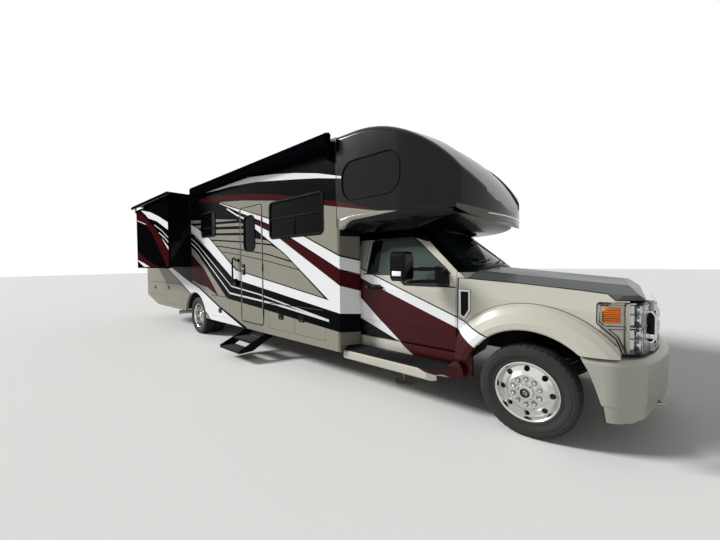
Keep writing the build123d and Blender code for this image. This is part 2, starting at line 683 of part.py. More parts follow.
# Hood, fenders and front end.
@cache
def front_form(inset):
    """The front end's outer form: a ruled body tapering forward, cut by plan and side views."""
    rear = ((1000, 590), (1006, 850), (1000, 1240), (975, 1397), (690, 1478), (0, 1505))
    nose = ((985, 590), (985, 850), (980, 1120), (905, 1270), (600, 1330), (0, 1360))
    sections = []
    for x, half in ((-640, rear), (900, nose)):
        half = [(y - inset if y else 0, z - (inset if z > 1200 else 0)) for y, z in half]
        points = half + [(-y, z) for y, z in reversed(half[:-1])]
        sections.append(Plane.YZ.offset(x) * outline(*points))
    body = loft(sections, ruled=True)
    bow = ThreePointArc((760, -860), (885, 0), (760, 860))
    side = Polyline((760, 860), (470, 1010), (-800, 1010), (-800, -1010), (470, -1010), (760, -860))
    plan = make_face(bow + side)
    plan = fillet(plan.vertices().filter_by_position(Axis.X, 700, 800), 130)
    plan = fillet(plan.vertices().filter_by_position(Axis.X, 460, 480), 320)
    if inset:
        plan = offset(plan, amount=-inset)
    nose_line = ThreePointArc((632, 1400), (738 - inset, 1300 - inset), (846 - inset, 1195 - inset))
    rest = Polyline((846 - inset, 1195 - inset), (878 - inset, 1110), (886 - inset, 900), (876, 500), (-640, 500),
                    (-640, 1600), (500, 1600), (632, 1400))
    return body & plan_view(plan, 400, 1700) & side_view(make_face(nose_line + rest), -1100, 1100)


def wheel_arch(radius, y0, y1):
    """A round arch cutter above the front wheel, open at the bottom."""
    round_part = cylinder_y(FRONT_ARCH_X, FRONT_ARCH_Z, radius, y0, y1)
    return round_part + block((FRONT_ARCH_X - radius, FRONT_ARCH_X + radius), (y0, y1), (200, FRONT_ARCH_Z))


def hood_cutter(gap):
    """The space the hood takes from the front form, lowered by a gap."""
    low = outline((-700, 1700), (-700, 1406 - gap), (-100, 1364 - gap), (400, 1318 - gap), (556, 1300 - gap),
                  (600, 1256 - gap), (1000, 1250 - gap), (1000, 1700))
    return side_view(low, -1100, 1100)


def hood():
    """The rear-hinged hood."""
    shell = (front_form(0) - front_form(SHEET)) & hood_cutter(0)
    return shell & block((-540, 1000), (-1100, 1100), (1200, 1700))


def lamp_outline(gap):
    """A headlamp in side view, drawn in by a gap: square above, swept back below."""
    lamp = outline((487, 1234), (487, 1066), (606, 944), (648, 824), (1000, 824), (1000, 1234))
    rear_corners = lamp.vertices().filter_by_position(Axis.Y, 1000, 1300).filter_by_position(Axis.X, 400, 500)
    lamp = fillet(rear_corners, 26)
    return offset(lamp, amount=-gap) if gap else lamp


def headlamps():
    """Both headlamp units: a shell of the body's form round a stepped reflector housing."""
    lens = (front_form(2) - front_form(14)) & side_view(lamp_outline(4), LAMP_INNER_Y + 4, 1100)
    rim = side_view(lamp_outline(4) - lamp_outline(24), LAMP_INNER_Y + 4, 1100)
    frame = (front_form(2) - front_form(70)) & rim
    bezel = (front_form(14) - front_form(60)) & side_view(lamp_outline(14), LAMP_INNER_Y + 4, 1100)
    bezel &= block((480, 1000), (LAMP_INNER_Y + 4, 1100), (1020, 1042))
    back = (front_form(60) - front_form(80)) & side_view(lamp_outline(4), LAMP_INNER_Y + 4, 1100)
    lamp = (lens + frame + bezel + back).clean()
    return Compound([lamp, mirrored(lamp)])


def grille():
    """The grille: a proud rounded surround, two nested bars and a louvred backing."""
    low, high, half = 826, 1236, LAMP_INNER_Y
    whole = Pos(0, (low + high) / 2) * Rectangle(2 * half, high - low)
    frame = whole - Pos(0, (low + high) / 2) * RectangleRounded(2 * half - 130, high - low - 104, 40)
    for z in (972, 1090):
        frame += Pos(0, z) * Rectangle(2 * half - 80, 56)
    louvres = [Pos(0, z) * Rectangle(2 * half - 80, 12) for z in range(low + 66, high - 60, 34)]
    panel = (front_form(-16) - front_form(50)) & front_view(frame, 500, 1000)
    for z_bar in louvres:
        panel += (front_form(26) - front_form(50)) & front_view(z_bar, 500, 1000)
    return panel + ((front_form(50) - front_form(60)) & front_view(whole, 500, 1000))


def front_fenders():
    """Both fenders with their hollow bulged flares, lamp openings and vent pockets."""
    space = block((-640, 1000), (560, 1100), (590, 1700)) - hood_cutter(7)
    space -= side_view(lamp_outline(0), LAMP_INNER_Y, 1100)
    space -= block((600, 1000), (0, LAMP_INNER_Y), (400, 1700))
    space -= block((372, 1000), (0, 1200), (400, 816)) + block((640, 1000), (0, 1200), (810, 830))
    space -= block((690, 1000), (0, 1200), (1226, 1300))
    skin = (front_form(0) - front_form(SHEET)) & space
    skin -= wheel_arch(FRONT_ARCH_RADIUS, 500, 1200)
    bulge = [(FRONT_ARCH_RADIUS, 960), (FRONT_ARCH_RADIUS, 1096), (FRONT_ARCH_RADIUS + 12, 1106),
             (FRONT_ARCH_RADIUS + 62, 1106), (FRONT_ARCH_RADIUS + 140, 1080), (FRONT_ARCH_RADIUS + 200, 1040),
             (FLARE_RADIUS, 996), (FLARE_RADIUS, 960)]
    flare = turned(bulge, FRONT_ARCH_X, 0, FRONT_ARCH_Z)
    flare -= cylinder_y(FRONT_ARCH_X, FRONT_ARCH_Z, FLARE_RADIUS - 130, 900, 1078)
    flare &= block((-640, 640), (940, 1200), (590, 1300)) - side_view(lamp_outline(0), 900, 1200)
    flare -= block((372, 1000), (0, 1200), (400, 816))
    left = skin + flare
    left -= side_view(outline(*VENT), 982, 1100)
    return Compound([left.clean(), mirrored(left.clean())])


def bumper_band(inset, z0, z1):
    """The bumper's plan form between two heights, drawn in by an inset."""
    nose = 965 - inset
    bow = ThreePointArc((790 - inset, -890 + inset), (nose, 0), (790 - inset, 890 - inset))
    sides = Polyline((790 - inset, 890 - inset), (610, 1078 - inset), (330, 1092 - inset),
                     (330, -1092 + inset), (610, -1078 + inset), (790 - inset, -890 + inset))
    plan = make_face(bow + sides)
    plan = fillet(plan.vertices().filter_by_position(Axis.X, 605, 615), 190)
    plan = fillet(plan.vertices().filter_by_position(Axis.X, 785 - inset, 795 - inset), 160)
    return plan_view(plan, z0, z1)


def front_bumper():
    """The wrap-round bumper: rounded top shelf, seam, set-back valance and swept rear edges."""
    low, seam, top = BUMPER_Z
    upper = bumper_band(0, seam + 4, top)
    rim = [edge for edge in upper.edges().group_by(Axis.Z)[-1] if edge.center().X > 331]
    upper = fillet(rim, 52)
    form = upper + bumper_band(9, low, seam + 10)
    profile = outline((392, top + 10), (392, top - 6), (448, 700), (491, 580), (530, seam), (543, seam - 6),
                      (562, low), (715, low), (780, low + 28), (860, low + 80), (1000, low + 100),
                      (1000, top + 10))
    form &= side_view(profile, -1200, 1200)
    hollow = bumper_band(34, low - 10, top - 34) + block((300, 760), (-900, 900), (low - 10, top - 34))
    shell = form - hollow - block((300, 700), (-800, 800), (top - 40, top + 10))
    for y in (-400, 340):
        shell += block((645, 940), (y, y + 60), (600, 740)) & bumper_band(30, 500, 760)
    for y in (-620, 620):
        shell -= cylinder_x(y, seam - 40, 26, 700, 1000)
    return shell.clean()


def running_boards():
    """Both running boards: stepped tread section with a swept, tapering front end."""
    section = outline((1000, 500), (1040, 505), (1075, 496), (1190, 440), (1206, 425), (1206, 352), (1186, 334),
                      (1164, 345), (1164, 405), (1000, 452))
    board = front_view(section, -2085, -600)
    sweep = outline((-900, 1300), (-900, 1206), (-600, 1075), (-500, 1075), (-500, 1300))
    sweep_cut = plan_view(sweep, 300, 600)
    board = board - sweep_cut
    return Compound([board, mirrored(board)])


def engine_block():
    """The engine as a plain block."""
    return block((-520, 540), (-300, 300), (620, 1240))


def cab_seats():
    """Two bucket seats."""
    profile = outline((-1250, 900), (-1230, 1080), (-1640, 1060), (-1800, 1560), (-1860, 1760),
                      (-1930, 1750), (-1900, 1500), (-1800, 1040), (-1760, 862), (-1300, 862))
    seat = side_view(profile, 150, 640)
    return Compound([seat, mirrored(seat)])


def dashboard():
    """The dashboard with the steering wheel on its column, on the left."""
    profile = outline((-622, 900), (-622, 1390), (-700, 1410), (-860, 1370), (-880, 1250), (-760, 1100),
                      (-700, 900))
    dash = side_view(profile, -850, 850)
    column = Plane(origin=(-860, 400, 1240), x_dir=(0, 1, 0), z_dir=(-0.87, 0, 0.5))
    dash += extrude(column * Circle(35), amount=180, both=False)
    ring = column.offset(170) * Torus(190, 16)
    dash += ring + column.offset(170) * Box(370, 36, 24) + column.offset(170) * Box(36, 370, 24)
    return dash.clean()


def fuel_tank():
    """The fuel tank behind the rear axle, between the rails."""
    tank = block((-9600, -8650), (-330, 330), (430, 640))
    return fillet(tank.edges().filter_by(Axis.Y), 50)


def main():
    """Builds every piece and writes one file for each."""
    right_doors = [box for name, box in BAGGAGE_DOORS.items() if name.endswith("right")]
    left_doors = [box for name, box in BAGGAGE_DOORS.items() if name.endswith("left")]
    nodes = {
        "chassis_frame": chassis_frame(),
        "front_axle": front_axle(),
        "rear_axle": rear_axle(),
        "exhaust_pipe": exhaust_pipe(),
        "leveling_jacks": leveling_jacks(),
        "steering_knuckle_right": steering_knuckle(),
        "steering_knuckle_left": mirrored(steering_knuckle()),
        "side_wall_right": side_wall(-1, [slide_opening(SLIDE_RIGHT), ENTRY_DOOR, *right_doors, *WINDOWS_RIGHT]),
        "side_wall_left": side_wall(1, [slide_opening(SLIDE_LEFT), *left_doors, *WINDOWS_LEFT]),
        "rear_wall": rear_wall(),
        "roof_panel": roof_panel(),
        "house_floor": house_floor(),
        "luggage_trays": underfloor(),
        "front_bulkhead": front_bulkhead(),
        "front_cap": (front_cap() + cap_belly()).clean(),
        "fixed_windows": fixed_windows(),
        "entry_door": entry_door(),
        "entry_door_window": plate_on(-1, ENTRY_WINDOW, -1, HALF_WIDTH - 20, 12),
        "slide_out_right": slide_room(SLIDE_RIGHT, None),
        "slide_out_left": mirrored(slide_room(SLIDE_LEFT, SLIDE_WINDOW)),
        "slide_window_left": plate_on(1, SLIDE_WINDOW, -1, SLIDE_LEFT[2] - 20, 12),
        "slide_topper_right": topper(SLIDE_RIGHT),
        "slide_topper_left": mirrored(topper(SLIDE_LEFT)),
        "patio_awning": patio_awning(),
        "roof_equipment": roof_equipment(roof_panel()),
        "rear_ladder": rear_ladder(),
        "tail_lamps": tail_lamps(),
        "entry_step": entry_step(),
        "cab_body": cab_body(),
        "cab_door_left": cab_door(),
        "cab_door_glass_left": cab_door_glass(),
        "door_mirror_left": door_mirror(),
        "cab_door_right": mirrored(cab_door()),
        "cab_door_glass_right": mirrored(cab_door_glass()),
        "door_mirror_right": mirrored(door_mirror()),
        "hood": hood(),
        "front_fenders": front_fenders(),
        "grille": grille(),
        "headlamps": headlamps(),
        "front_bumper": front_bumper(),
        "running_boards": running_boards(),
        "engine_block": engine_block(),
        "cab_seats": cab_seats(),
        "dashboard": dashboard(),
        "fuel_tank": fuel_tank(),
        **wheels(),
        **{name: baggage_door(name) for name in BAGGAGE_DOORS},
    }
    os.makedirs("parts", exist_ok=True)
    for name, shape in nodes.items():
        export_step(Pos(-ORIGIN_X, 0, 0) * shape, f"parts/{name}.step")


if __name__ == "__main__":
    main()
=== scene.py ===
"""Looks of the motorhome: camera, light, painted and glazed finishes, and the fitted detail pieces."""

import logging
import math
from dataclasses import dataclass
from enum import Enum
from typing import Callable, Iterable, Sequence

import bmesh
import bpy
from mathutils import Matrix, Vector
from mathutils.bvhtree import BVHTree


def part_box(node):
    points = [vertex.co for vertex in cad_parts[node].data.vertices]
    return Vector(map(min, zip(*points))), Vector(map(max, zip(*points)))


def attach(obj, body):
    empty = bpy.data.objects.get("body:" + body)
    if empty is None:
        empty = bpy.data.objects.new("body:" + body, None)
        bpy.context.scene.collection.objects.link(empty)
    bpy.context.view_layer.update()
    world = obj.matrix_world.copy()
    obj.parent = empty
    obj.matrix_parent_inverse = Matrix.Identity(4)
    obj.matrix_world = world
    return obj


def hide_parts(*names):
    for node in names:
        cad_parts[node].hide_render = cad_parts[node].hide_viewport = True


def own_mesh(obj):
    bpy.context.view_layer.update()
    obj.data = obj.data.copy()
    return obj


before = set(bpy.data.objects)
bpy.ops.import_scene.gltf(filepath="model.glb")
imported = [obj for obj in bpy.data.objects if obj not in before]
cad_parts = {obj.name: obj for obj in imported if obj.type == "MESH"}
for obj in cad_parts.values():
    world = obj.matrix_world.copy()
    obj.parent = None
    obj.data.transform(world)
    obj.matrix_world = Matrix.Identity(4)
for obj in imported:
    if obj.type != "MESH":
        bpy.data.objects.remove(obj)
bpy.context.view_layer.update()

STATION = 4.6045
PICTURE = (720, 540)
SHARP_FOLD = math.radians(32.0)
log = logging.getLogger("motorhome")

Point = tuple[float, float]
Spot = tuple[float, float, float]
Line = tuple[Point, ...]
Tree = bpy.types.NodeTree
Socket = bpy.types.NodeSocket
Material = bpy.types.Material
Vert = bmesh.types.BMVert
Face = bmesh.types.BMFace


class Side(Enum):
    """The two sides of the vehicle, as the sign of y."""

    RIGHT = -1
    LEFT = 1

    @property
    def word(self) -> str:
        """The side's word in node and body names."""
        return self.name.lower()

    def pair(self, base: float, low: float, high: float) -> Point:
        """The y of two places on this side, low and high metres beyond a distance from the middle."""
        return self.value * (base + low), self.value * (base + high)


class Colour(Enum):
    """Colours of the vehicle, as sRGB hex; the hood's and the lip's tones are painted reflections and the
    fairing's is painted shade.
    """

    CHAMPAGNE = "8F8D81"
    CAB_CHAMPAGNE = "BEBCB0"
    # The hood's champagne, darkened as a painted reflection of the dark open sky.
    HOOD_CHAMPAGNE = "575B5B"
    BUMPER = "A3A399"
    # The fairing's champagne, darkened as painted shade of the cap above it.
    FAIRING = "6C6A60"
    BLACK = "06080B"
    # A grey-brown painted reflection of the ground in the cap's glossy black lip.
    LIP = "5A574E"
    MAROON = "3D1013"
    WHITE = "E6E8E8"
    STRIPE_SILVER = "D6D7D7"
    TYRE = "1E1D1B"
    PLASTIC = "161617"
    GLASS = "08090A"
    CAB_GLASS = "18231F"
    # Lighter grey-green door glass: painted light seen through the cab.
    DOOR_GLASS = "3E4C47"
    ROOF = "D8D6CE"
    STEEL = "8E8C88"
    ALUMINIUM = "D2D2D0"
    CHROME = "D2D4D7"
    # The grille's chrome, darkened as a painted reflection of dark surroundings.
    DARK_CHROME = "8E9195"
    SATIN = "B9B4A8"
    AMBER = "FF8400"
    RED = "8E0F12"
    LENS = "F4F6F7"
    SEAT = "5A5248"
    WOOD = "6B5640"
    FLOOR = "EDECEA"


def linear(colour: Colour) -> tuple[float, float, float, float]:
    """Turns an sRGB hex colour into linear red, green, blue and alpha.

    Args:
        colour: the named colour.

    Returns:
        The linear colour with an alpha of 1.
    """
    parts = [int(colour.value[i : i + 2], 16) / 255 for i in (0, 2, 4)]
    made = [c / 12.92 if c <= 0.04045 else ((c + 0.055) / 1.055) ** 2.4 for c in parts]
    return (made[0], made[1], made[2], 1.0)


def at(x: float, y: float, z: float) -> Vector:
    """Turns a station from the front axle into the row's frame.

    Args:
        x: metres forward of the front axle.
        y: metres to the left.
        z: metres above the ground.

    Returns:
        The place in the row's frame.
    """
    return Vector((x + STATION, y, z))


def way_out(spot: Vector) -> Vector:
    """The level direction forwards and outwards, at 45 degrees, on the spot's side."""
    return Vector((1.0, math.copysign(1.0, spot.y), 0.0)).normalized()


def add_node(
    tree: Tree, kind: str, inputs: dict[str | int, object] | None = None, **settings: object
) -> bpy.types.Node:
    """Adds a node with its settings and its inputs, which are values or sockets to link.

    Args:
        tree: the node tree.
        kind: the node's type name without its ShaderNode start.
        inputs: values or sockets by input name or number.
        **settings: the node's own properties.

    Returns:
        The node.
    """
    node = tree.nodes.new("ShaderNode" + kind)
    for name, value in settings.items():
        setattr(node, name, value)
    for name, value in (inputs or {}).items():
        if isinstance(value, Socket):
            tree.links.new(value, node.inputs[name])
        else:
            node.inputs[name].default_value = value
    return node


def wire(
    tree: Tree, kind: str, inputs: dict[str | int, object] | None = None, **settings: object
) -> Socket:
    """Adds a node as add_node does and gives its first output."""
    return add_node(tree, kind, inputs, **settings).outputs[0]


def reckon(tree: Tree, operation: str, *values: float | Socket) -> Socket:
    """The result of one mathematical operation on values or sockets."""
    return wire(tree, "Math", dict(enumerate(values)), operation=operation)


# Finishes.
@dataclass(frozen=True)
class Grain:
    """Fine relief and mottling of a surface."""

    size_mm: float = 1.0
    depth_mm: float = 0.02
    mottle: float = 0.06
    mottle_mm: float = 180.0
    rough_spread: float = 0.06


@dataclass(frozen=True)
class Finish:
    """One surface finish: a principled shader whose colour and roughness vary a little."""

    name: str
    colour: Colour
    roughness: float = 0.4
    slot: str = ""
    grain: Grain = Grain()
    metallic: float = 0.0
    coat: float = 0.0
    coat_roughness: float = 0.03
    ior: float = 1.5
    specular: float = 0.5

    def start(self) -> tuple[Material, Tree, Socket]:
        """Makes an empty material and the Object coordinates that its patterns read."""
        material = bpy.data.materials.new(self.name)
        material.use_nodes = True
        tree = material.node_tree
        tree.nodes.clear()
        place = add_node(tree, "TexCoord").outputs["Object"]
        return material, tree, place

    def base_colour(self, tree: Tree, place: Socket) -> Socket:
        """The colour before mottling. Plain here, and painted with bands by a livery."""
        return self.solid(tree, self.colour)

    @staticmethod
    def solid(tree: Tree, colour: Colour) -> Socket:
        """A single colour as a socket."""
        node = add_node(tree, "RGB")
        node.outputs[0].default_value = linear(colour)
        return node.outputs[0]

    def build(self) -> Material:
        """Makes the material.

        Returns:
            The finished material.
        """
        material, tree, place = self.start()
        grain, rough = self.grain, self.roughness
        cloud = wire(
            tree, "TexNoise",
            {"Vector": place, "Scale": 1000 / grain.mottle_mm, "Detail": 4.0, "Roughness": 0.6},
        )
        reach = {"Value": cloud, "From Min": 0.3, "From Max": 0.7}
        shade = wire(tree, "MapRange", reach | {"To Min": 1 - grain.mottle, "To Max": 1 + grain.mottle})
        spread = wire(
            tree, "MapRange",
            reach | {"To Min": max(0.0, rough - grain.rough_spread), "To Max": rough + grain.rough_spread},
        )
        tinted = wire(
            tree, "MixRGB", {"Fac": 1.0, "Color1": self.base_colour(tree, place), "Color2": shade},
            blend_type="MULTIPLY",
        )
        fine = wire(tree, "TexNoise", {"Vector": place, "Scale": 1000 / grain.size_mm, "Detail": 2.0})
        bump = wire(tree, "Bump", {"Strength": 0.5, "Distance": grain.depth_mm / 1000, "Height": fine})
        shader = wire(
            tree, "BsdfPrincipled",
            {
                "Base Color": tinted, "Roughness": spread, "Metallic": self.metallic, "IOR": self.ior,
                "Coat Weight": self.coat, "Coat Roughness": self.coat_roughness, "Normal": bump,
                "Specular IOR Level": self.specular,
            },
        )
        add_node(tree, "OutputMaterial", {"Surface": shader})
        return material


# Painted bands.
@dataclass(frozen=True)
class Band:
    """A painted band between two lines of (x, z) stations, each read from left to right."""

    colour: Colour
    top: Line
    bottom: Line

    @property
    def span(self) -> Point:
        """The stations between which the band is painted."""
        return max(self.top[0][0], self.bottom[0][0]), min(self.top[-1][0], self.bottom[-1][0])


@dataclass(frozen=True)
class Livery(Finish):
    """Two-coat paint with swept bands, laid over each other in order as masked coats are."""

    bands: tuple[Band, ...] = ()
    specular: float = 0.02

    @staticmethod
    def line(tree: Tree, x: Socket, points: Sequence[Point]) -> Socket:
        """The height of a line of points at each station, from a curve with straight runs.

        Args:
            tree: the node tree.
            x: the station.
            points: the line's (x, z) points.

        Returns:
            The line's height.
        """
        x0, x1 = points[0][0], points[-1][0]
        z0 = min(z for _, z in points)
        z1 = max(z for _, z in points) + 1e-4
        share = wire(tree, "MapRange", {"Value": x, "From Min": x0, "From Max": x1})
        curve = add_node(tree, "FloatCurve", {"Value": share})
        line = curve.mapping.curves[0]
        spots = [((px - x0) / (x1 - x0), (pz - z0) / (z1 - z0)) for px, pz in points]
        line.points[0].location = spots[0]
        for u, v in spots[1:-1]:
            line.points.new(u, v)
        line.points[-1].location = spots[-1]
        for spot in line.points:
            spot.handle_type = "VECTOR"
        curve.mapping.update()
        return reckon(tree, "MULTIPLY_ADD", curve.outputs[0], z1 - z0, z0)

    def base_colour(self, tree: Tree, place: Socket) -> Socket:
        """The bands over the ground colour.

        Args:
            tree: the node tree.
            place: Object coordinates.

        Returns:
            The painted colour.
        """
        moved = wire(tree, "Mapping", {"Vector": place, "Location": (-STATION, 0.0, 0.0)})
        x, _, z = add_node(tree, "SeparateXYZ", {"Vector": moved}).outputs
        colour = self.solid(tree, self.colour)
        for band in self.bands:
            low, high = band.span
            under = reckon(tree, "GREATER_THAN", self.line(tree, x, band.top), z)
            over = reckon(tree, "GREATER_THAN", z, self.line(tree, x, band.bottom))
            inside = reckon(tree, "COMPARE", x, (low + high) / 2, (high - low) / 2)
            mask = reckon(tree, "MULTIPLY", reckon(tree, "MULTIPLY", under, over), inside)
            colour = wire(tree, "MixRGB", {"Fac": mask, "Color1": colour, "Color2": linear(band.colour)})
        return colour


@dataclass(frozen=True)
class TintedGlass(Finish):
    """Dark glass: a glossy sheet over a near-black body, as privacy glass looks from outside."""

    name: str = "dark_tinted_glass"
    colour: Colour = Colour.GLASS
    roughness: float = 0.02
    specular: float = 0.05
    grain: Grain = Grain(size_mm=60, depth_mm=0.02, mottle=0.0, rough_spread=0.0)


@dataclass(frozen=True)
class ClearGlass(Finish):
    """A clear moulded face: light goes straight in, and its surface keeps a hard gloss."""

    roughness: float = 0.01

    def build(self) -> Material:
        """Makes the clear material.

        Returns:
            The finished material.
        """
        material, tree, place = self.start()
        wave = wire(tree, "TexNoise", {"Vector": place, "Scale": 12.0, "Detail": 1.0})
        bump = wire(tree, "Bump", {"Strength": 0.05, "Distance": 0.001, "Height": wave})
        shader = wire(
            tree, "BsdfPrincipled",
            {
                "Base Color": linear(self.colour), "Roughness": self.roughness, "IOR": 1.25,
                "Transmission Weight": 1.0, "Normal": bump,
            },
        )
        add_node(tree, "OutputMaterial", {"Surface": shader})
        return material


def stripe(colour: Colour, points: Sequence[Point], width: float) -> Band:
    """A pinstripe along a line of points.

    Args:
        colour: its colour.
        points: the line's (x, z) points.
        width: its upright width in metres.

    Returns:
        The band.
    """
    half = width / 2
    return Band(colour, tuple((x, z + half) for x, z in points), tuple((x, z - half) for x, z in points))


def towards_cab(bands: Sequence[Band], seam: float = -2.08, end: float = -1.90) -> tuple[Band, ...]:
    """Carries the house's bands on, straight, over the fairing between house and cab.

    Args:
        bands: the bands as they run on the house's side.
        seam: the station at which such a band ends there.
        end: the station to which it is carried on.

    Returns:
        The bands, the others unchanged.
    """
    def carried(line: Line) -> Line:
        """One edge of a band, with a last point added where the edge ends at the seam."""
        (x0, z0), (x1, z1) = line[-2:]
        return (*line, (end, z1 + (z1 - z0) / (x1 - x0) * (end - x1))) if x1 == seam else line

    return tuple(Band(band.colour, carried(band.top), carried(band.bottom)) for band in bands)


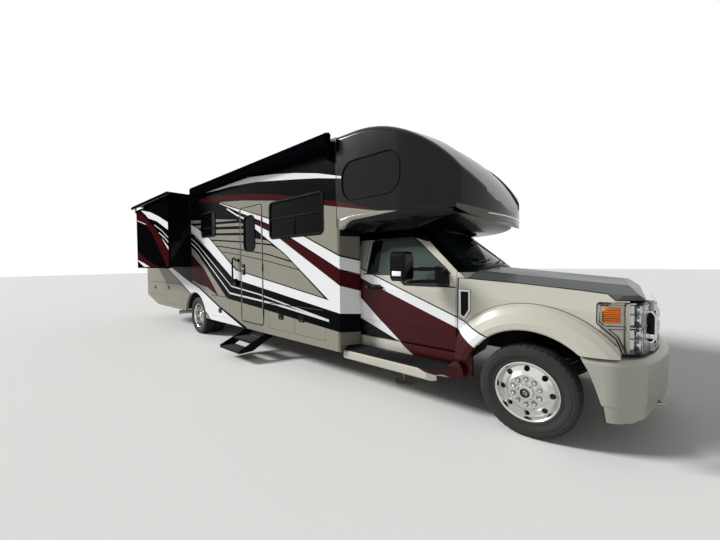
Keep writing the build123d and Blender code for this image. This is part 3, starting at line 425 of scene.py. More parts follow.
UPPER_MAROON_LOW = (
    (-10.1, 3.0), (-9.1, 2.98), (-6.4, 2.83), (-5.5, 2.775), (-5.0, 2.73), (-4.5, 2.68), (-4.0, 2.61),
    (-3.5, 2.54), (-3.0, 2.45), (-2.39, 2.33), (-2.12, 2.275), (-1.83, 2.22), (-1.5, 2.155), (-1.2, 2.12),
    (-0.6, 2.1), (0.0, 2.0),
)
HOUSE_BANDS = (
    Band(Colour.BLACK, ((-10.1, 3.5), (0.0, 3.5)), UPPER_MAROON_LOW),
    Band(
        Colour.MAROON,
        (
            (-10.1, 3.13), (-9.1, 3.1), (-6.4, 2.96), (-5.5, 2.90), (-5.0, 2.85), (-4.5, 2.79), (-4.0, 2.72),
            (-3.5, 2.64), (-3.0, 2.53), (-2.39, 2.40), (-2.12, 2.345), (-1.83, 2.265), (-1.5, 2.156),
        ),
        UPPER_MAROON_LOW[:13],
    ),
    Band(
        Colour.WHITE,
        (
            (-6.2, 3.07), (-5.5, 3.05), (-4.9, 3.06), (-4.5, 3.07), (-4.0, 3.01), (-3.5, 2.95), (-3.0, 2.87),
            (-2.5, 2.77), (-2.0, 2.635), (-1.96, 2.61),
        ),
        (
            (-6.2, 3.06), (-5.5, 3.01), (-4.9, 2.99), (-4.5, 2.96), (-4.0, 2.92), (-3.5, 2.85), (-3.0, 2.78),
            (-2.5, 2.705), (-2.0, 2.61), (-1.96, 2.60),
        ),
    ),
    # The skirt's underside below the cap in black: partly its dark paint, partly painted shade under the cap.
    Band(
        Colour.BLACK,
        (
            (-2.083, 1.978), (-2.03, 1.985), (-2.005, 1.998), (-1.95, 2.045), (-1.90, 2.072), (-1.84, 2.086),
            (-1.6, 2.098), (-1.4, 2.110), (-1.2, 2.122), (-1.05, 2.15), (-0.3, 2.16),
        ),
        ((-2.083, 1.90), (-0.3, 1.90)),
    ),
    # The cap's lip in grey-brown: a painted reflection of the ground in its glossy black.
    Band(
        Colour.LIP,
        ((-0.635, 2.16), (-0.50, 2.125), (-0.40, 2.095), (-0.3, 2.08)),
        ((-0.635, 1.90), (-0.3, 1.90)),
    ),
    # The dark tail field between the maroon sweep and the louvre lines.
    Band(
        Colour.BLACK,
        ((-6.9, 3.0), (-5.4, 2.765), (-4.9, 2.57), (-4.4, 2.34)),
        ((-6.9, 2.56), (-6.4, 2.51), (-5.5, 2.445), (-4.4, 2.33)),
    ),
    stripe(Colour.BLACK, ((-6.9, 2.455), (-5.5, 2.37), (-4.4, 2.31)), 0.05),
    stripe(Colour.BLACK, ((-6.9, 2.34), (-5.5, 2.27), (-4.4, 2.2)), 0.055),
    stripe(Colour.BLACK, ((-6.9, 2.2), (-5.5, 2.15), (-4.5, 2.09), (-3.9, 2.0)), 0.045),
    Band(Colour.BLACK, ((-4.1, 2.14), (-3.3, 1.885)), ((-4.1, 1.99), (-3.3, 1.87))),
    stripe(Colour.BLACK, ((-6.0, 2.06), (-5.5, 2.03), (-4.5, 1.95), (-3.6, 1.86), (-3.2, 1.715)), 0.026),
    stripe(Colour.BLACK, ((-5.9, 1.96), (-5.5, 1.92), (-4.5, 1.81), (-3.7, 1.71), (-3.0, 1.57)), 0.02),
    stripe(Colour.BLACK, ((-5.4, 1.81), (-4.5, 1.71), (-3.7, 1.60), (-2.8, 1.45)), 0.012),
    # Upper diagonals towards the cab.
    Band(
        Colour.BLACK,
        ((-5.42, 2.785), (-4.55, 2.535), (-4.0, 2.39), (-3.64, 2.285), (-2.82, 1.97), (-2.08, 1.66)),
        ((-5.42, 2.74), (-4.55, 2.28), (-4.0, 2.19), (-3.64, 2.08), (-2.82, 1.68), (-2.08, 1.46)),
    ),
    Band(
        Colour.WHITE,
        (
            (-5.35, 2.745), (-4.9, 2.615), (-4.5, 2.51), (-4.0, 2.37), (-3.64, 2.265), (-2.82, 1.95),
            (-2.08, 1.64),
        ),
        (
            (-5.35, 2.735), (-4.9, 2.59), (-4.5, 2.455), (-4.0, 2.30), (-3.64, 2.185), (-3.12, 1.956),
            (-2.08, 1.48),
        ),
    ),
    stripe(Colour.WHITE, ((-5.05, 2.60), (-4.7, 2.45), (-4.4, 2.345)), 0.03),
    Band(
        Colour.MAROON,
        ((-4.35, 2.37), (-4.0, 2.275), (-3.64, 2.16), (-3.12, 1.93), (-2.08, 1.465)),
        ((-4.35, 2.36), (-4.0, 2.21), (-3.64, 2.08), (-3.386, 1.956), (-2.08, 1.27)),
    ),
    Band(
        Colour.BLACK,
        ((-4.15, 2.26), (-3.64, 2.07), (-3.386, 1.94), (-2.08, 1.255)),
        ((-4.15, 2.16), (-4.07, 2.12), (-3.26, 1.70), (-2.3, 1.045), (-2.08, 0.95)),
    ),
    Band(
        Colour.WHITE,
        ((-4.12, 2.245), (-3.64, 2.065), (-3.386, 1.945), (-2.08, 1.265)),
        ((-4.12, 2.165), (-4.07, 2.145), (-3.26, 1.72), (-2.28, 1.065), (-2.08, 0.95)),
    ),
    # Level band and the black sweep under it.
    Band(
        Colour.BLACK,
        ((-6.9, 2.32), (-4.9, 1.38), (-4.62, 1.27), (-2.08, 0.935)),
        ((-6.9, 2.02), (-6.4, 1.77), (-5.12, 0.90), (-4.09, 0.83), (-2.79, 0.728), (-2.08, 0.675)),
    ),
    Band(
        Colour.BLACK,
        (
            (-6.9, 2.53), (-6.4, 2.35), (-5.9, 2.14), (-4.7, 1.45), (-4.62, 1.44), (-2.33, 1.093),
            (-2.28, 1.06), (-2.08, 1.04),
        ),
        ((-6.9, 2.33), (-6.4, 2.13), (-4.87, 1.28), (-4.62, 1.25), (-2.08, 0.91)),
    ),
    Band(
        Colour.WHITE,
        (
            (-6.9, 2.50), (-6.4, 2.33), (-5.9, 2.12), (-4.75, 1.44), (-4.62, 1.42), (-2.26, 1.067),
            (-2.08, 1.05),
        ),
        ((-6.9, 2.34), (-6.4, 2.136), (-4.87, 1.29), (-4.62, 1.26), (-2.08, 0.915)),
    ),
    stripe(
        Colour.STRIPE_SILVER, ((-6.9, 2.2), (-6.4, 1.98), (-4.94, 1.144), (-4.0, 1.05), (-2.3, 0.805)), 0.022
    ),
    stripe(
        Colour.STRIPE_SILVER, ((-6.9, 2.1), (-6.4, 1.87), (-5.01, 1.01), (-3.5, 0.92), (-2.3, 0.80)), 0.03
    ),
    # Rear maroon wedge, and the black field under the rear slide-out room.
    Band(
        Colour.MAROON,
        ((-6.9, 1.86), (-6.4, 1.60), (-6.1, 1.45), (-5.48, 0.93)),
        ((-6.9, 1.22), (-6.4, 1.13), (-6.0, 1.08), (-5.48, 0.92)),
    ),
    Band(
        Colour.BLACK, ((-10.1, 3.5), (-6.76, 3.5)),
        ((-10.1, 1.5), (-8.45, 1.5), (-8.0, 1.5), (-7.5, 1.34), (-7.0, 1.19), (-6.76, 1.12)),
    ),
    Band(
        Colour.BLACK,
        ((-8.5, 1.52), (-8.0, 1.52), (-7.5, 1.37), (-7.0, 1.22), (-6.4, 1.075), (-5.5, 0.75), (-4.42, 0.44)),
        (
            (-8.5, 1.48), (-7.9, 1.275), (-7.5, 1.12), (-7.0, 0.92), (-6.45, 0.69), (-6.0, 0.49),
            (-5.85, 0.4), (-4.42, 0.4),
        ),
    ),
    Band(
        Colour.WHITE,
        ((-8.35, 1.5), (-8.0, 1.47), (-7.5, 1.32), (-7.0, 1.18), (-6.4, 1.035), (-5.5, 0.71), (-4.53, 0.41)),
        (
            (-8.35, 1.46), (-7.9, 1.3), (-7.5, 1.15), (-7.0, 0.95), (-6.45, 0.72), (-6.0, 0.52), (-5.83, 0.4),
            (-4.53, 0.4),
        ),
    ),
)
SLIDE_BANDS = (
    Band(
        Colour.MAROON,
        ((-9.2, 2.98), (-8.9, 2.93), (-8.3, 2.68), (-7.7, 2.42), (-7.2, 2.1), (-6.8, 1.82), (-6.7, 1.74)),
        (
            (-9.2, 2.77), (-8.9, 2.72), (-8.3, 2.52), (-7.9, 2.32), (-7.5, 2.0), (-7.1, 1.66), (-6.9, 1.47),
            (-6.7, 1.47),
        ),
    ),
    Band(
        Colour.WHITE,
        ((-8.7, 2.94), (-8.0, 2.82), (-7.4, 2.66), (-6.9, 2.5), (-6.72, 2.44)),
        ((-8.7, 2.93), (-8.3, 2.77), (-8.15, 2.69), (-7.5, 2.55), (-6.9, 2.34), (-6.72, 2.28)),
    ),
    stripe(Colour.STRIPE_SILVER, ((-9.1, 2.72), (-8.35, 2.56)), 0.022),
    stripe(Colour.STRIPE_SILVER, ((-7.7, 2.49), (-7.2, 2.32), (-6.76, 2.12)), 0.022),
    stripe(Colour.STRIPE_SILVER, ((-7.4, 2.29), (-7.0, 2.14), (-6.74, 2.01)), 0.028),
    Band(Colour.STRIPE_SILVER, ((-7.2, 2.15), (-6.78, 1.93)), ((-7.2, 2.14), (-6.78, 1.85))),
    Band(
        Colour.MAROON,
        ((-9.2, 1.95), (-8.6, 1.76), (-8.0, 1.61), (-7.4, 1.5)),
        ((-9.2, 1.74), (-8.6, 1.58), (-8.0, 1.5), (-7.4, 1.49)),
    ),
    Band(
        Colour.WHITE,
        ((-9.12, 1.69), (-8.6, 1.6), (-8.1, 1.5)),
        ((-9.12, 1.66), (-8.6, 1.51), (-8.1, 1.49)),
    ),
)
CAB_BANDS = (
    Band(
        Colour.BLACK,
        ((-2.1, 1.20), (-1.99, 1.13), (-1.375, 0.624), (-1.3, 0.618)),
        ((-2.1, 0.618), (-1.3, 0.616)),
    ),
    # The roof and door header painted black as painted shade of the cap, down to the foot of the pillar's
    # bright strip.
    Band(
        Colour.BLACK, ((-2.1, 2.3), (-0.9, 2.3)),
        ((-2.1, 1.859), (-1.27, 1.859), (-1.19, 1.838), (-1.08, 1.80), (-0.9, 1.83)),
    ),
    Band(
        Colour.BLACK,
        ((-2.1, 1.54), (-1.83, 1.44), (-0.66, 1.005), (-0.32, 0.86), (-0.2, 0.81)),
        ((-2.1, 1.50), (-1.96, 1.36), (-0.66, 0.87), (-0.42, 0.70), (-0.2, 0.60)),
    ),
    Band(
        Colour.MAROON,
        ((-2.1, 1.41), (-1.96, 1.36), (-0.66, 0.88), (-0.425, 0.72), (-0.35, 0.66)),
        ((-2.1, 1.20), (-1.99, 1.13), (-1.37, 0.62), (-1.30, 0.565), (-1.15, 0.47), (-0.35, 0.3)),
    ),
    Band(
        Colour.WHITE,
        ((-2.1, 1.525), (-1.83, 1.425), (-0.66, 0.99), (-0.32, 0.845), (-0.2, 0.795)),
        ((-2.1, 1.41), (-1.96, 1.36), (-0.66, 0.885), (-0.42, 0.72), (-0.2, 0.62)),
    ),
    Band(
        Colour.WHITE,
        ((-2.1, 1.21), (-1.99, 1.135), (-1.37, 0.63)),
        ((-2.1, 0.90), (-1.99, 0.855), (-1.37, 0.62)),
    ),
)


# The black surround of the windscreen, which follows the screen's slope in side view.
SCREEN_BAND = Band(
    Colour.BLACK, ((-1.25, 2.3), (-0.5, 2.3)),
    ((-1.25, 1.935), (-1.10, 1.812), (-0.66, 1.456), (-0.60, 1.452), (-0.5, 1.446)),
)

PAINT = Grain(size_mm=3.0, depth_mm=0.004, mottle=0.025, mottle_mm=700, rough_spread=0.03)
SMOOTH = Grain(size_mm=8, depth_mm=0.004, mottle=0.03, mottle_mm=120, rough_spread=0.02)
PLATED = Grain(size_mm=8, depth_mm=0.005, mottle=0.03, mottle_mm=60, rough_spread=0.03)
LONG_BANDS = towards_cab(HOUSE_BANDS)


class Kit(Enum):
    """Every finish of the vehicle."""

    # Two coats of metallic paint under clear lacquer, masked into swept bands: a deep, even gloss.
    HOUSE = Livery("house_two_coat_paint", Colour.CHAMPAGNE, 0.22, "body_paint", PAINT, bands=LONG_BANDS)
    SLIDE = Livery(
        "slide_two_coat_paint", Colour.BLACK, 0.22, "body_paint", PAINT, specular=0.0, bands=SLIDE_BANDS
    )
    CAB = Livery(
        "cab_two_coat_paint", Colour.CAB_CHAMPAGNE, 0.26, "cab_paint", PAINT, metallic=0.12, specular=0.2,
        bands=CAB_BANDS,
    )
    # The sleeping cap in the same coat, rubbed out to a wetter gloss.
    CAP = Livery(
        "cap_two_coat_paint", Colour.CHAMPAGNE, 0.18, "cap_paint", PAINT, specular=0.22, bands=LONG_BANDS
    )
    # The wall and fairings beside the cab, their champagne darkened as painted shade of the cap over them.
    FAIRING = Livery("fairing_two_coat_paint", Colour.FAIRING, 0.24, "body_paint", PAINT, bands=LONG_BANDS)
    # The bumper's plastic cover: the same tone with more metal flake, so that it mirrors in broad bands.
    BUMPER = Finish("bumper_flake_paint", Colour.BUMPER, 0.3, "cab_paint", PAINT, metallic=0.3, specular=0.3)
    # The cab's shell in the same coat, with the black surround round its windscreen.
    CAB_SHELL = Livery(
        "cab_shell_two_coat_paint", Colour.CAB_CHAMPAGNE, 0.26, "cab_paint", PAINT, metallic=0.12,
        bands=(*CAB_BANDS, SCREEN_BAND),
    )
    # The cab's coat on the hood, in a deeper, bluer tone that is a painted reflection of the dark open sky it
    # faces.
    HOOD = Livery("hood_two_coat_paint", Colour.HOOD_CHAMPAGNE, 0.24, "cab_paint", PAINT, metallic=0.12)
    # Plain champagne lacquer on the small trims, which lets them sink into the wall.
    CHAMPAGNE_TRIM = Finish("champagne_lacquer", Colour.CHAMPAGNE, 0.25, "body_paint", PAINT)
    # Moulded synthetic rubber: dull, dusty, with a fine sandy surface from the mould.
    RUBBER = Finish(
        "moulded_tyre_rubber", Colour.TYRE, 0.82, "tyre_rubber", Grain(2.0, 0.1, 0.25, 60, 0.08)
    )
    # Textured ABS: a soft sheen broken by a fine grain.
    PLASTIC = Finish(
        "textured_black_abs", Colour.PLASTIC, 0.5, "black_plastic", Grain(0.8, 0.03, 0.08, 90), specular=0.18
    )
    # Piano-black ABS: smooth, sharp reflections.
    GLOSS_BLACK = Finish("gloss_black_abs", Colour.BLACK, 0.12, "black_plastic", SMOOTH, specular=0.12)
    # Matt anodising: the clamp frames draw a dead black line round each pane.
    WINDOW_FRAME = Finish(
        "black_anodised_aluminium", Colour.BLACK, 0.5, "black_plastic", Grain(1.0, 0.02, 0.05, 90),
        specular=0.03,
    )
    # Painted shade: the dull black floor of a recess or crease, too dull to catch any light; it also marks
    # the mirror's dark seam.
    SHADOW = Finish("dark_recess_plastic", Colour.BLACK, 0.7, "black_plastic")
    # Satin paint over rough castings: the underside stays one dark, quiet mass.
    CHASSIS = Finish(
        "satin_chassis_paint", Colour.BLACK, 0.5, "black_paint", Grain(4, 0.1, 0.2, 150), specular=0.1
    )
    # The awning's extruded case: a dead flat powder coat that swallows the light.
    CASE = Finish(
        "flat_black_powder_coat", Colour.BLACK, 0.6, "black_paint", Grain(1.2, 0.03, 0.1, 120), specular=0.0
    )
    # Bare steel: grey, with a sheen that wear has broken up.
    STEEL = Finish("bare_steel", Colour.STEEL, 0.42, "dull_steel", Grain(2, 0.05, 0.2, 60), metallic=1.0)
    # Forged aluminium, buffed: broad bright bands with a slightly soft edge.
    POLISHED = Finish(
        "polished_forged_aluminium", Colour.ALUMINIUM, 0.16, "polished_wheel", Grain(8, 0.01, 0.05, 60, 0.05),
        metallic=1.0,
    )
    # Chrome plate: a hard mirror that picks out small trims with thin bright lines.
    CHROME = Finish("chrome_plate", Colour.CHROME, 0.06, "chrome_trim", PLATED, metallic=1.0)
    # The grille's chrome, darkened as a painted reflection of dark surroundings, which keeps its face from
    # going flat white.
    DARK_CHROME = Finish("smoked_chrome_plate", Colour.DARK_CHROME, 0.1, "chrome_trim", PLATED, metallic=1.0)
    # Silvered glass: a true, undistorted mirror.
    MIRROR = Finish("silvered_mirror_glass", Colour.CHROME, 0.03, "chrome_trim", SMOOTH, metallic=1.0)
    # Lacquered reflector metal: a diffuse silver glow inside the lamps.
    SATIN = Finish("satin_silver_reflector", Colour.SATIN, 0.3, "chrome_trim", SMOOTH, metallic=0.85)
    # Privacy glass: near black, with only the studio in it.
    GLASS = TintedGlass(slot="tinted_glass")
    # The windscreen's lighter tint: a green cast over the dark cab.
    CAB_GLASS = TintedGlass("green_tinted_glass", Colour.CAB_GLASS, slot="tinted_glass")
    # The door's glass in a lighter grey-green: painted light standing in for the far window's light seen
    # through the cab.
    DOOR_GLASS = TintedGlass("light_green_door_glass", Colour.DOOR_GLASS, slot="tinted_glass", specular=0.3)
    # The cap's flush pane, as glossy as the paint round it.
    CAP_PANE = TintedGlass("flush_cap_window_glass", slot="tinted_glass", specular=0.22)
    # Clear polycarbonate: the lamps' inner parts show through a hard gloss.
    CLEAR = ClearGlass("clear_polycarbonate", Colour.LENS, slot="clear_lens")
    # Rubber roofing: chalky white, with a slow unevenness.
    ROOF = Finish("roof_membrane", Colour.ROOF, 0.6, "white_roof", Grain(6, 0.2, 0.08, 300))
    # Moulded covers: the same white, but smoother and a little brighter at their edges.
    SHELL = Finish("white_moulded_abs", Colour.ROOF, 0.45, "white_plastic", Grain(2, 0.03, 0.05, 150))
    # Smoked acrylic: glossy dark lids against the white.
    SMOKE = Finish("smoked_acrylic", Colour.PLASTIC, 0.15, "white_plastic", SMOOTH)
    # Coated cloth: black and flat, without a highlight.
    FABRIC = Finish(
        "coated_awning_cloth", Colour.BLACK, 0.9, "black_fabric", Grain(1.5, 0.1, 0.1, 200), specular=0.0
    )
    # Red acrylic: deep colour under a wet edge of light.
    RED = Finish("red_lens_acrylic", Colour.RED, 0.15, "red_lens", SMOOTH, coat=1.0)
    # Amber acrylic: saturated, with a soft shine on each rib.
    AMBER = Finish("amber_lens_acrylic", Colour.AMBER, 0.3, "clear_lens", SMOOTH, specular=0.15)
    # Clear acrylic over a bright back: white with a hard glint.
    LENS = Finish("clear_lens_acrylic", Colour.LENS, 0.1, "clear_lens", SMOOTH, metallic=0.3, coat=1.0)
    # Woven seat cloth: warm, soft and uneven.
    SEAT = Finish("seat_cloth", Colour.SEAT, 0.9, "seat_fabric", Grain(2, 0.3, 0.15, 40))
    # Laminate: a faint broad figure under a satin face.
    WOOD = Finish("laminated_floor", Colour.WOOD, 0.5, "dark_laminate", Grain(20, 0.1, 0.2, 120))

    @property
    def material(self) -> Material:
        """The finish's material, which its first use makes."""
        return bpy.data.materials.get(self.value.name) or self.value.build()


# Camera and light.
@dataclass(frozen=True)
class PhotoCamera:
    """The camera that was solved from the photograph: a very wide lens at standing height."""

    place: Spot = (0.6732, -4.0519, 1.5735)
    yaw: float = math.radians(40.894)
    pitch: float = math.radians(1.505)
    roll: float = math.radians(-0.624)
    focal_pixels: float = 309.283
    sensor_mm: float = 36.0

    def axes(self) -> Matrix:
        """The camera's turn, with its right, up and backward axes as columns."""
        level = math.cos(self.pitch)
        forward = Vector((-math.sin(self.yaw) * level, math.cos(self.yaw) * level, -math.sin(self.pitch)))
        right = Vector((math.cos(self.yaw), math.sin(self.yaw), 0.0))
        up = right.cross(forward)
        cos, sin = math.cos(self.roll), math.sin(self.roll)
        return Matrix((cos * right + sin * up, cos * up - sin * right, -forward)).transposed()

    def build(self) -> None:
        """Adds the camera and makes it the scene's."""
        data = bpy.data.cameras.new("photo_camera")
        data.sensor_width = self.sensor_mm
        data.sensor_fit = "HORIZONTAL"
        data.lens = self.focal_pixels * self.sensor_mm / PICTURE[0]
        data.clip_end = 200.0
        camera = bpy.data.objects.new("photo_camera", data)
        bpy.context.scene.collection.objects.link(camera)
        camera.matrix_world = Matrix.Translation(at(*self.place)) @ self.axes().to_4x4()
        bpy.context.scene.camera = camera


@dataclass(frozen=True)
class Studio:
    """A plain pale floor and soft light."""

    floor_reach: float = 60.0
    fill: float = 0.30
    sun_strength: float = 3.5
    sun_width: float = math.radians(12)
    sun_from: Spot = (-0.718, -0.484, 0.50)

    def floor(self) -> None:
        """Lays the floor, which keeps the vehicle's shadow."""
        mesh = bpy.data.meshes.new("floor")
        form = bmesh.new()
        bmesh.ops.create_grid(form, x_segments=1, y_segments=1, size=self.floor_reach)
        form.to_mesh(mesh)
        form.free()
        floor = bpy.data.objects.new("floor", mesh)
        bpy.context.scene.collection.objects.link(floor)
        finish = Finish("studio_floor", Colour.FLOOR, 0.9, specular=0.1, grain=Grain(mottle=0.0))
        mesh.materials.append(finish.build())

    def world(self) -> None:
        """Sets a white world, which fills the shadows less than it shows in glass, metal and behind."""
        world = bpy.data.worlds.new("studio")
        bpy.context.scene.world = world
        bpy.context.scene.view_settings.view_transform = "Standard"
        world.use_nodes = True
        tree = world.node_tree
        tree.nodes.clear()
        path = add_node(tree, "LightPath").outputs
        seen = reckon(tree, "MAXIMUM", path["Is Camera Ray"], path["Is Transmission Ray"])
        seen = reckon(tree, "MAXIMUM", seen, path["Is Glossy Ray"])
        strength = wire(tree, "MapRange", {"Value": seen, "To Min": self.fill, "To Max": 1.0})
        sky = wire(tree, "Background", {"Color": (1.0, 1.0, 1.0, 1.0), "Strength": strength})
        add_node(tree, "OutputWorld", {"Surface": sky})

    def sun(self) -> None:
        """Hangs one large soft sun."""
        lamp = bpy.data.lights.new("soft_sun", "SUN")
        lamp.energy = self.sun_strength
        lamp.angle = self.sun_width
        sun = bpy.data.objects.new("soft_sun", lamp)
        bpy.context.scene.collection.objects.link(sun)
        sun.matrix_world = Vector(self.sun_from).to_track_quat("Z", "Y").to_matrix().to_4x4()

    def build(self) -> None:
        """Lays the floor and sets the light."""
        self.floor()
        self.world()
        self.sun()


# Mesh making.
class Axis(Enum):
    """The direction along which a flat outline is made solid."""

    X = 0
    Y = 1
    Z = 2


class Piece:
    """One mesh in the making, given in stations and written in the row's frame."""

    def __init__(self, name: str) -> None:
        """Starts an empty piece under its name."""
        self.name = name
        self.form = bmesh.new()

    @property
    def everything(self) -> list[Vert | bmesh.types.BMEdge | Face]:
        """All that the mesh holds, as the operators that work on the whole of it want it."""
        return [*self.form.verts, *self.form.edges, *self.form.faces]

    def bevel(self, verts: Iterable[Vert], width: float) -> None:
        """Rounds every edge between the given vertices.

        Args:
            verts: the vertices.
            width: the rounding in metres.
        """
        chosen = set(verts)
        edges = [edge for edge in self.form.edges if edge.verts[0] in chosen and edge.verts[1] in chosen]
        bmesh.ops.bevel(
            self.form, geom=edges, offset=width, segments=2, profile=0.5, affect="EDGES", material=-1,
            clamp_overlap=True,
        )

    def cut(self, place: Vector, toward: Vector, clear: bool = False) -> None:
        """Cuts the mesh along a plane.

        Args:
            place: a place on the plane, in the row's frame.
            toward: the direction square to it.
            clear: whether what lies on the direction's side goes.
        """
        bmesh.ops.bisect_plane(
            self.form, geom=self.everything, dist=1e-6, plane_co=place, plane_no=toward, clear_outer=clear
        )

    def box(self, x: Point, y: Point, z: Point, bevel: float = 0.0) -> "Piece":
        """Adds a box between three (low, high) pairs, with rounded edges if asked.

        Args:
            x: the two stations.
            y: the two distances to the left.
            z: the two heights.
            bevel: the width of the rounding in metres.

        Returns:
            The piece.
        """
        pairs = (x, y, z)
        middle = at(*[(low + high) / 2 for low, high in pairs])
        size = [abs(high - low) for low, high in pairs]
        place = Matrix.Translation(middle) @ Matrix.Diagonal((*size, 1.0))
        made = bmesh.ops.create_cube(self.form, size=1.0, matrix=place)
        if bevel:
            self.bevel(made["verts"], bevel)
        return self

    def face(self, points: Sequence[Point], level: float, axis: Axis) -> Face:
        """Adds one flat face, square to an axis.

        Args:
            points: its outline in the other two directions.
            level: where it lies along the axis.
            axis: the axis.

        Returns:
            The face.
        """
        corners = []
        for a, b in points:
            spot = [a, b]
            spot.insert(axis.value, level)
            corners.append(self.form.verts.new(at(*spot)))
        made = self.form.faces.new(corners)
        made.normal_update()
        return made

    def raise_faces(self, faces: list[Face], step: Vector) -> list[Vert]:
        """Extrudes faces into a solid.

        Args:
            faces: the faces, which lie side by side.
            step: how far and which way.

        Returns:
            All the vertices of the solid.
        """
        before = {vert for face in faces for vert in face.verts}
        made = bmesh.ops.extrude_face_region(self.form, geom=faces)
        moved = [item for item in made["geom"] if isinstance(item, Vert)]
        bmesh.ops.translate(self.form, verts=moved, vec=step)
        return [*before, *moved]

    def slab(
        self, points: Sequence[Point], low: float, high: float, axis: Axis, bevel: float = 0.0,
        hollow: float = 0.0,
    ) -> "Piece":
        """Adds an outline made solid along an axis, or a frame of one width round it.

        Args:
            points: the outline in the two other directions.
            low: where the solid starts.
            high: where it ends.
            axis: the direction of the thickness.
            bevel: the rounding of its edges in metres.
            hollow: the width of the frame, or 0 for a full slab.

        Returns:
            The piece.
        """
        face = self.face(points, low, axis)
        faces = [face]
        if hollow:
            made = bmesh.ops.inset_region(
                self.form, faces=[face], thickness=hollow, use_even_offset=True, use_boundary=True
            )
            faces = made["faces"]
            bmesh.ops.delete(self.form, geom=[face], context="FACES_ONLY")
        step = Vector((0.0, 0.0, 0.0))
        step[axis.value] = high - low
        verts = self.raise_faces(faces, step)
        if bevel:
            self.bevel(verts, bevel)
        return self

    def turned(
        self, profile: Sequence[Point], centre: Spot, toward: Vector, steps: int = 48
    ) -> "Piece":
        """Spins a (radius, distance along the axis) profile; one that ends at radius 0 closes itself.

        Args:
            profile: the profile, in metres.
            centre: the station, y and z that distance 0 lies at.
            toward: the axis' direction.
            steps: how many steps make the full turn.

        Returns:
            The piece.
        """
        along = toward.normalized()
        out = along.orthogonal().normalized()
        middle = at(*centre)
        verts = [self.form.verts.new(middle + out * radius + along * far) for radius, far in profile]
        edges = [self.form.edges.new(pair) for pair in zip(verts, verts[1:])]
        bmesh.ops.spin(
            self.form, geom=[*verts, *edges], cent=middle, axis=along, dvec=(0, 0, 0), angle=math.tau,
            steps=steps, use_merge=True, use_duplicate=False,
        )
        return self

    def rod(
        self, start: Vector, end: Vector, radius: float, steps: int = 12, tip: float | None = None
    ) -> "Piece":
        """Adds a round rod between two places in the row's frame.

        Args:
            start: the middle of its first end.
            end: the middle of its other end.
            radius: its radius in metres.
            steps: how many flats go round it.
            tip: the radius of its other end, where that differs.

        Returns:
            The piece.
        """
        run = end - start
        place = Matrix.Translation((start + end) / 2) @ run.to_track_quat("Z", "Y").to_matrix().to_4x4()
        bmesh.ops.create_cone(
            self.form, cap_ends=True, segments=steps, radius1=radius, radius2=radius if tip is None else tip,
            depth=run.length, matrix=place,
        )
        return self

    def pipe(self, route: Sequence[Vector], radius: float, steps: int = 12) -> "Piece":
        """Adds a round pipe with a ball at each bend.

        Args:
            route: the places in the row's frame that it goes through.
            radius: its radius in metres.
            steps: how many flats go round it.

        Returns:
            The piece.
        """
        for start, end in zip(route, route[1:]):
            self.rod(start, end, radius, steps)
        for bend in route[1:-1]:
            bmesh.ops.create_uvsphere(
                self.form, u_segments=steps, v_segments=steps // 2, radius=radius,
                matrix=Matrix.Translation(bend),
            )
        return self

    def ribbon(self, sections: Sequence[Sequence[Vector]]) -> "Piece":
        """Adds a flat bar that follows a bent surface.

        Args:
            sections: the four corners of each section, as places in the row's frame.

        Returns:
            The piece.
        """
        rings = [[self.form.verts.new(spot) for spot in section] for section in sections]
        for low, high in zip(rings, rings[1:]):
            for k in range(4):
                self.form.faces.new((low[k], low[k - 1], high[k - 1], high[k]))
        self.form.faces.new(rings[0])
        self.form.faces.new(reversed(rings[-1]))
        return self

    def both_sides(self) -> "Piece":
        """Adds the same shapes mirrored to the other side of the vehicle."""
        bmesh.ops.mirror(self.form, geom=self.everything, matrix=Matrix(), merge_dist=-1.0, axis="Y")
        return self

    def done(self, finish: Kit, body: str = "coach", closed: bool = True) -> bpy.types.Object:
        """Makes the mesh an object with soft and sharp edges, and sets it on its body.

        Args:
            finish: its finish.
            body: the CAD body that carries the piece.
            closed: whether its doubled vertices are merged and its faces turned outwards first.

        Returns:
            The finished object.
        """
        if closed:
            bmesh.ops.remove_doubles(self.form, verts=self.form.verts, dist=1e-5)
            bmesh.ops.recalc_face_normals(self.form, faces=self.form.faces)
        for face in self.form.faces:
            face.smooth = True
        for edge in self.form.edges:
            edge.smooth = len(edge.link_faces) != 2 or edge.calc_face_angle(0.0) < SHARP_FOLD
        mesh = bpy.data.meshes.new(self.name)
        self.form.to_mesh(mesh)
        self.form.free()
        mesh.materials.append(finish.material)
        made = bpy.data.objects.new(self.name, mesh)
        bpy.context.scene.collection.objects.link(made)
        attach(made, body)
        log.info("%s on %s", self.name, body)
        return made


def round_outline(x: Point, z: Point, radius: float, steps: int = 6) -> list[Point]:
    """A rectangle with rounded corners.

    Args:
        x: its low and high limits across.
        z: its low and high limits upwards.
        radius: the corners' radius.
        steps: how many pieces make a corner.

    Returns:
        Its points, anticlockwise.
    """
    corners = ((x[1], z[1], 0), (x[0], z[1], 1), (x[0], z[0], 2), (x[1], z[0], 3))
    points = []
    for cx, cz, quarter in corners:
        mx = cx - radius if cx == x[1] else cx + radius
        mz = cz - radius if cz == z[1] else cz + radius
        for i in range(steps + 1):
            turn = math.pi / 2 * (quarter + i / steps)
            points.append((mx + radius * math.cos(turn), mz + radius * math.sin(turn)))
    return points


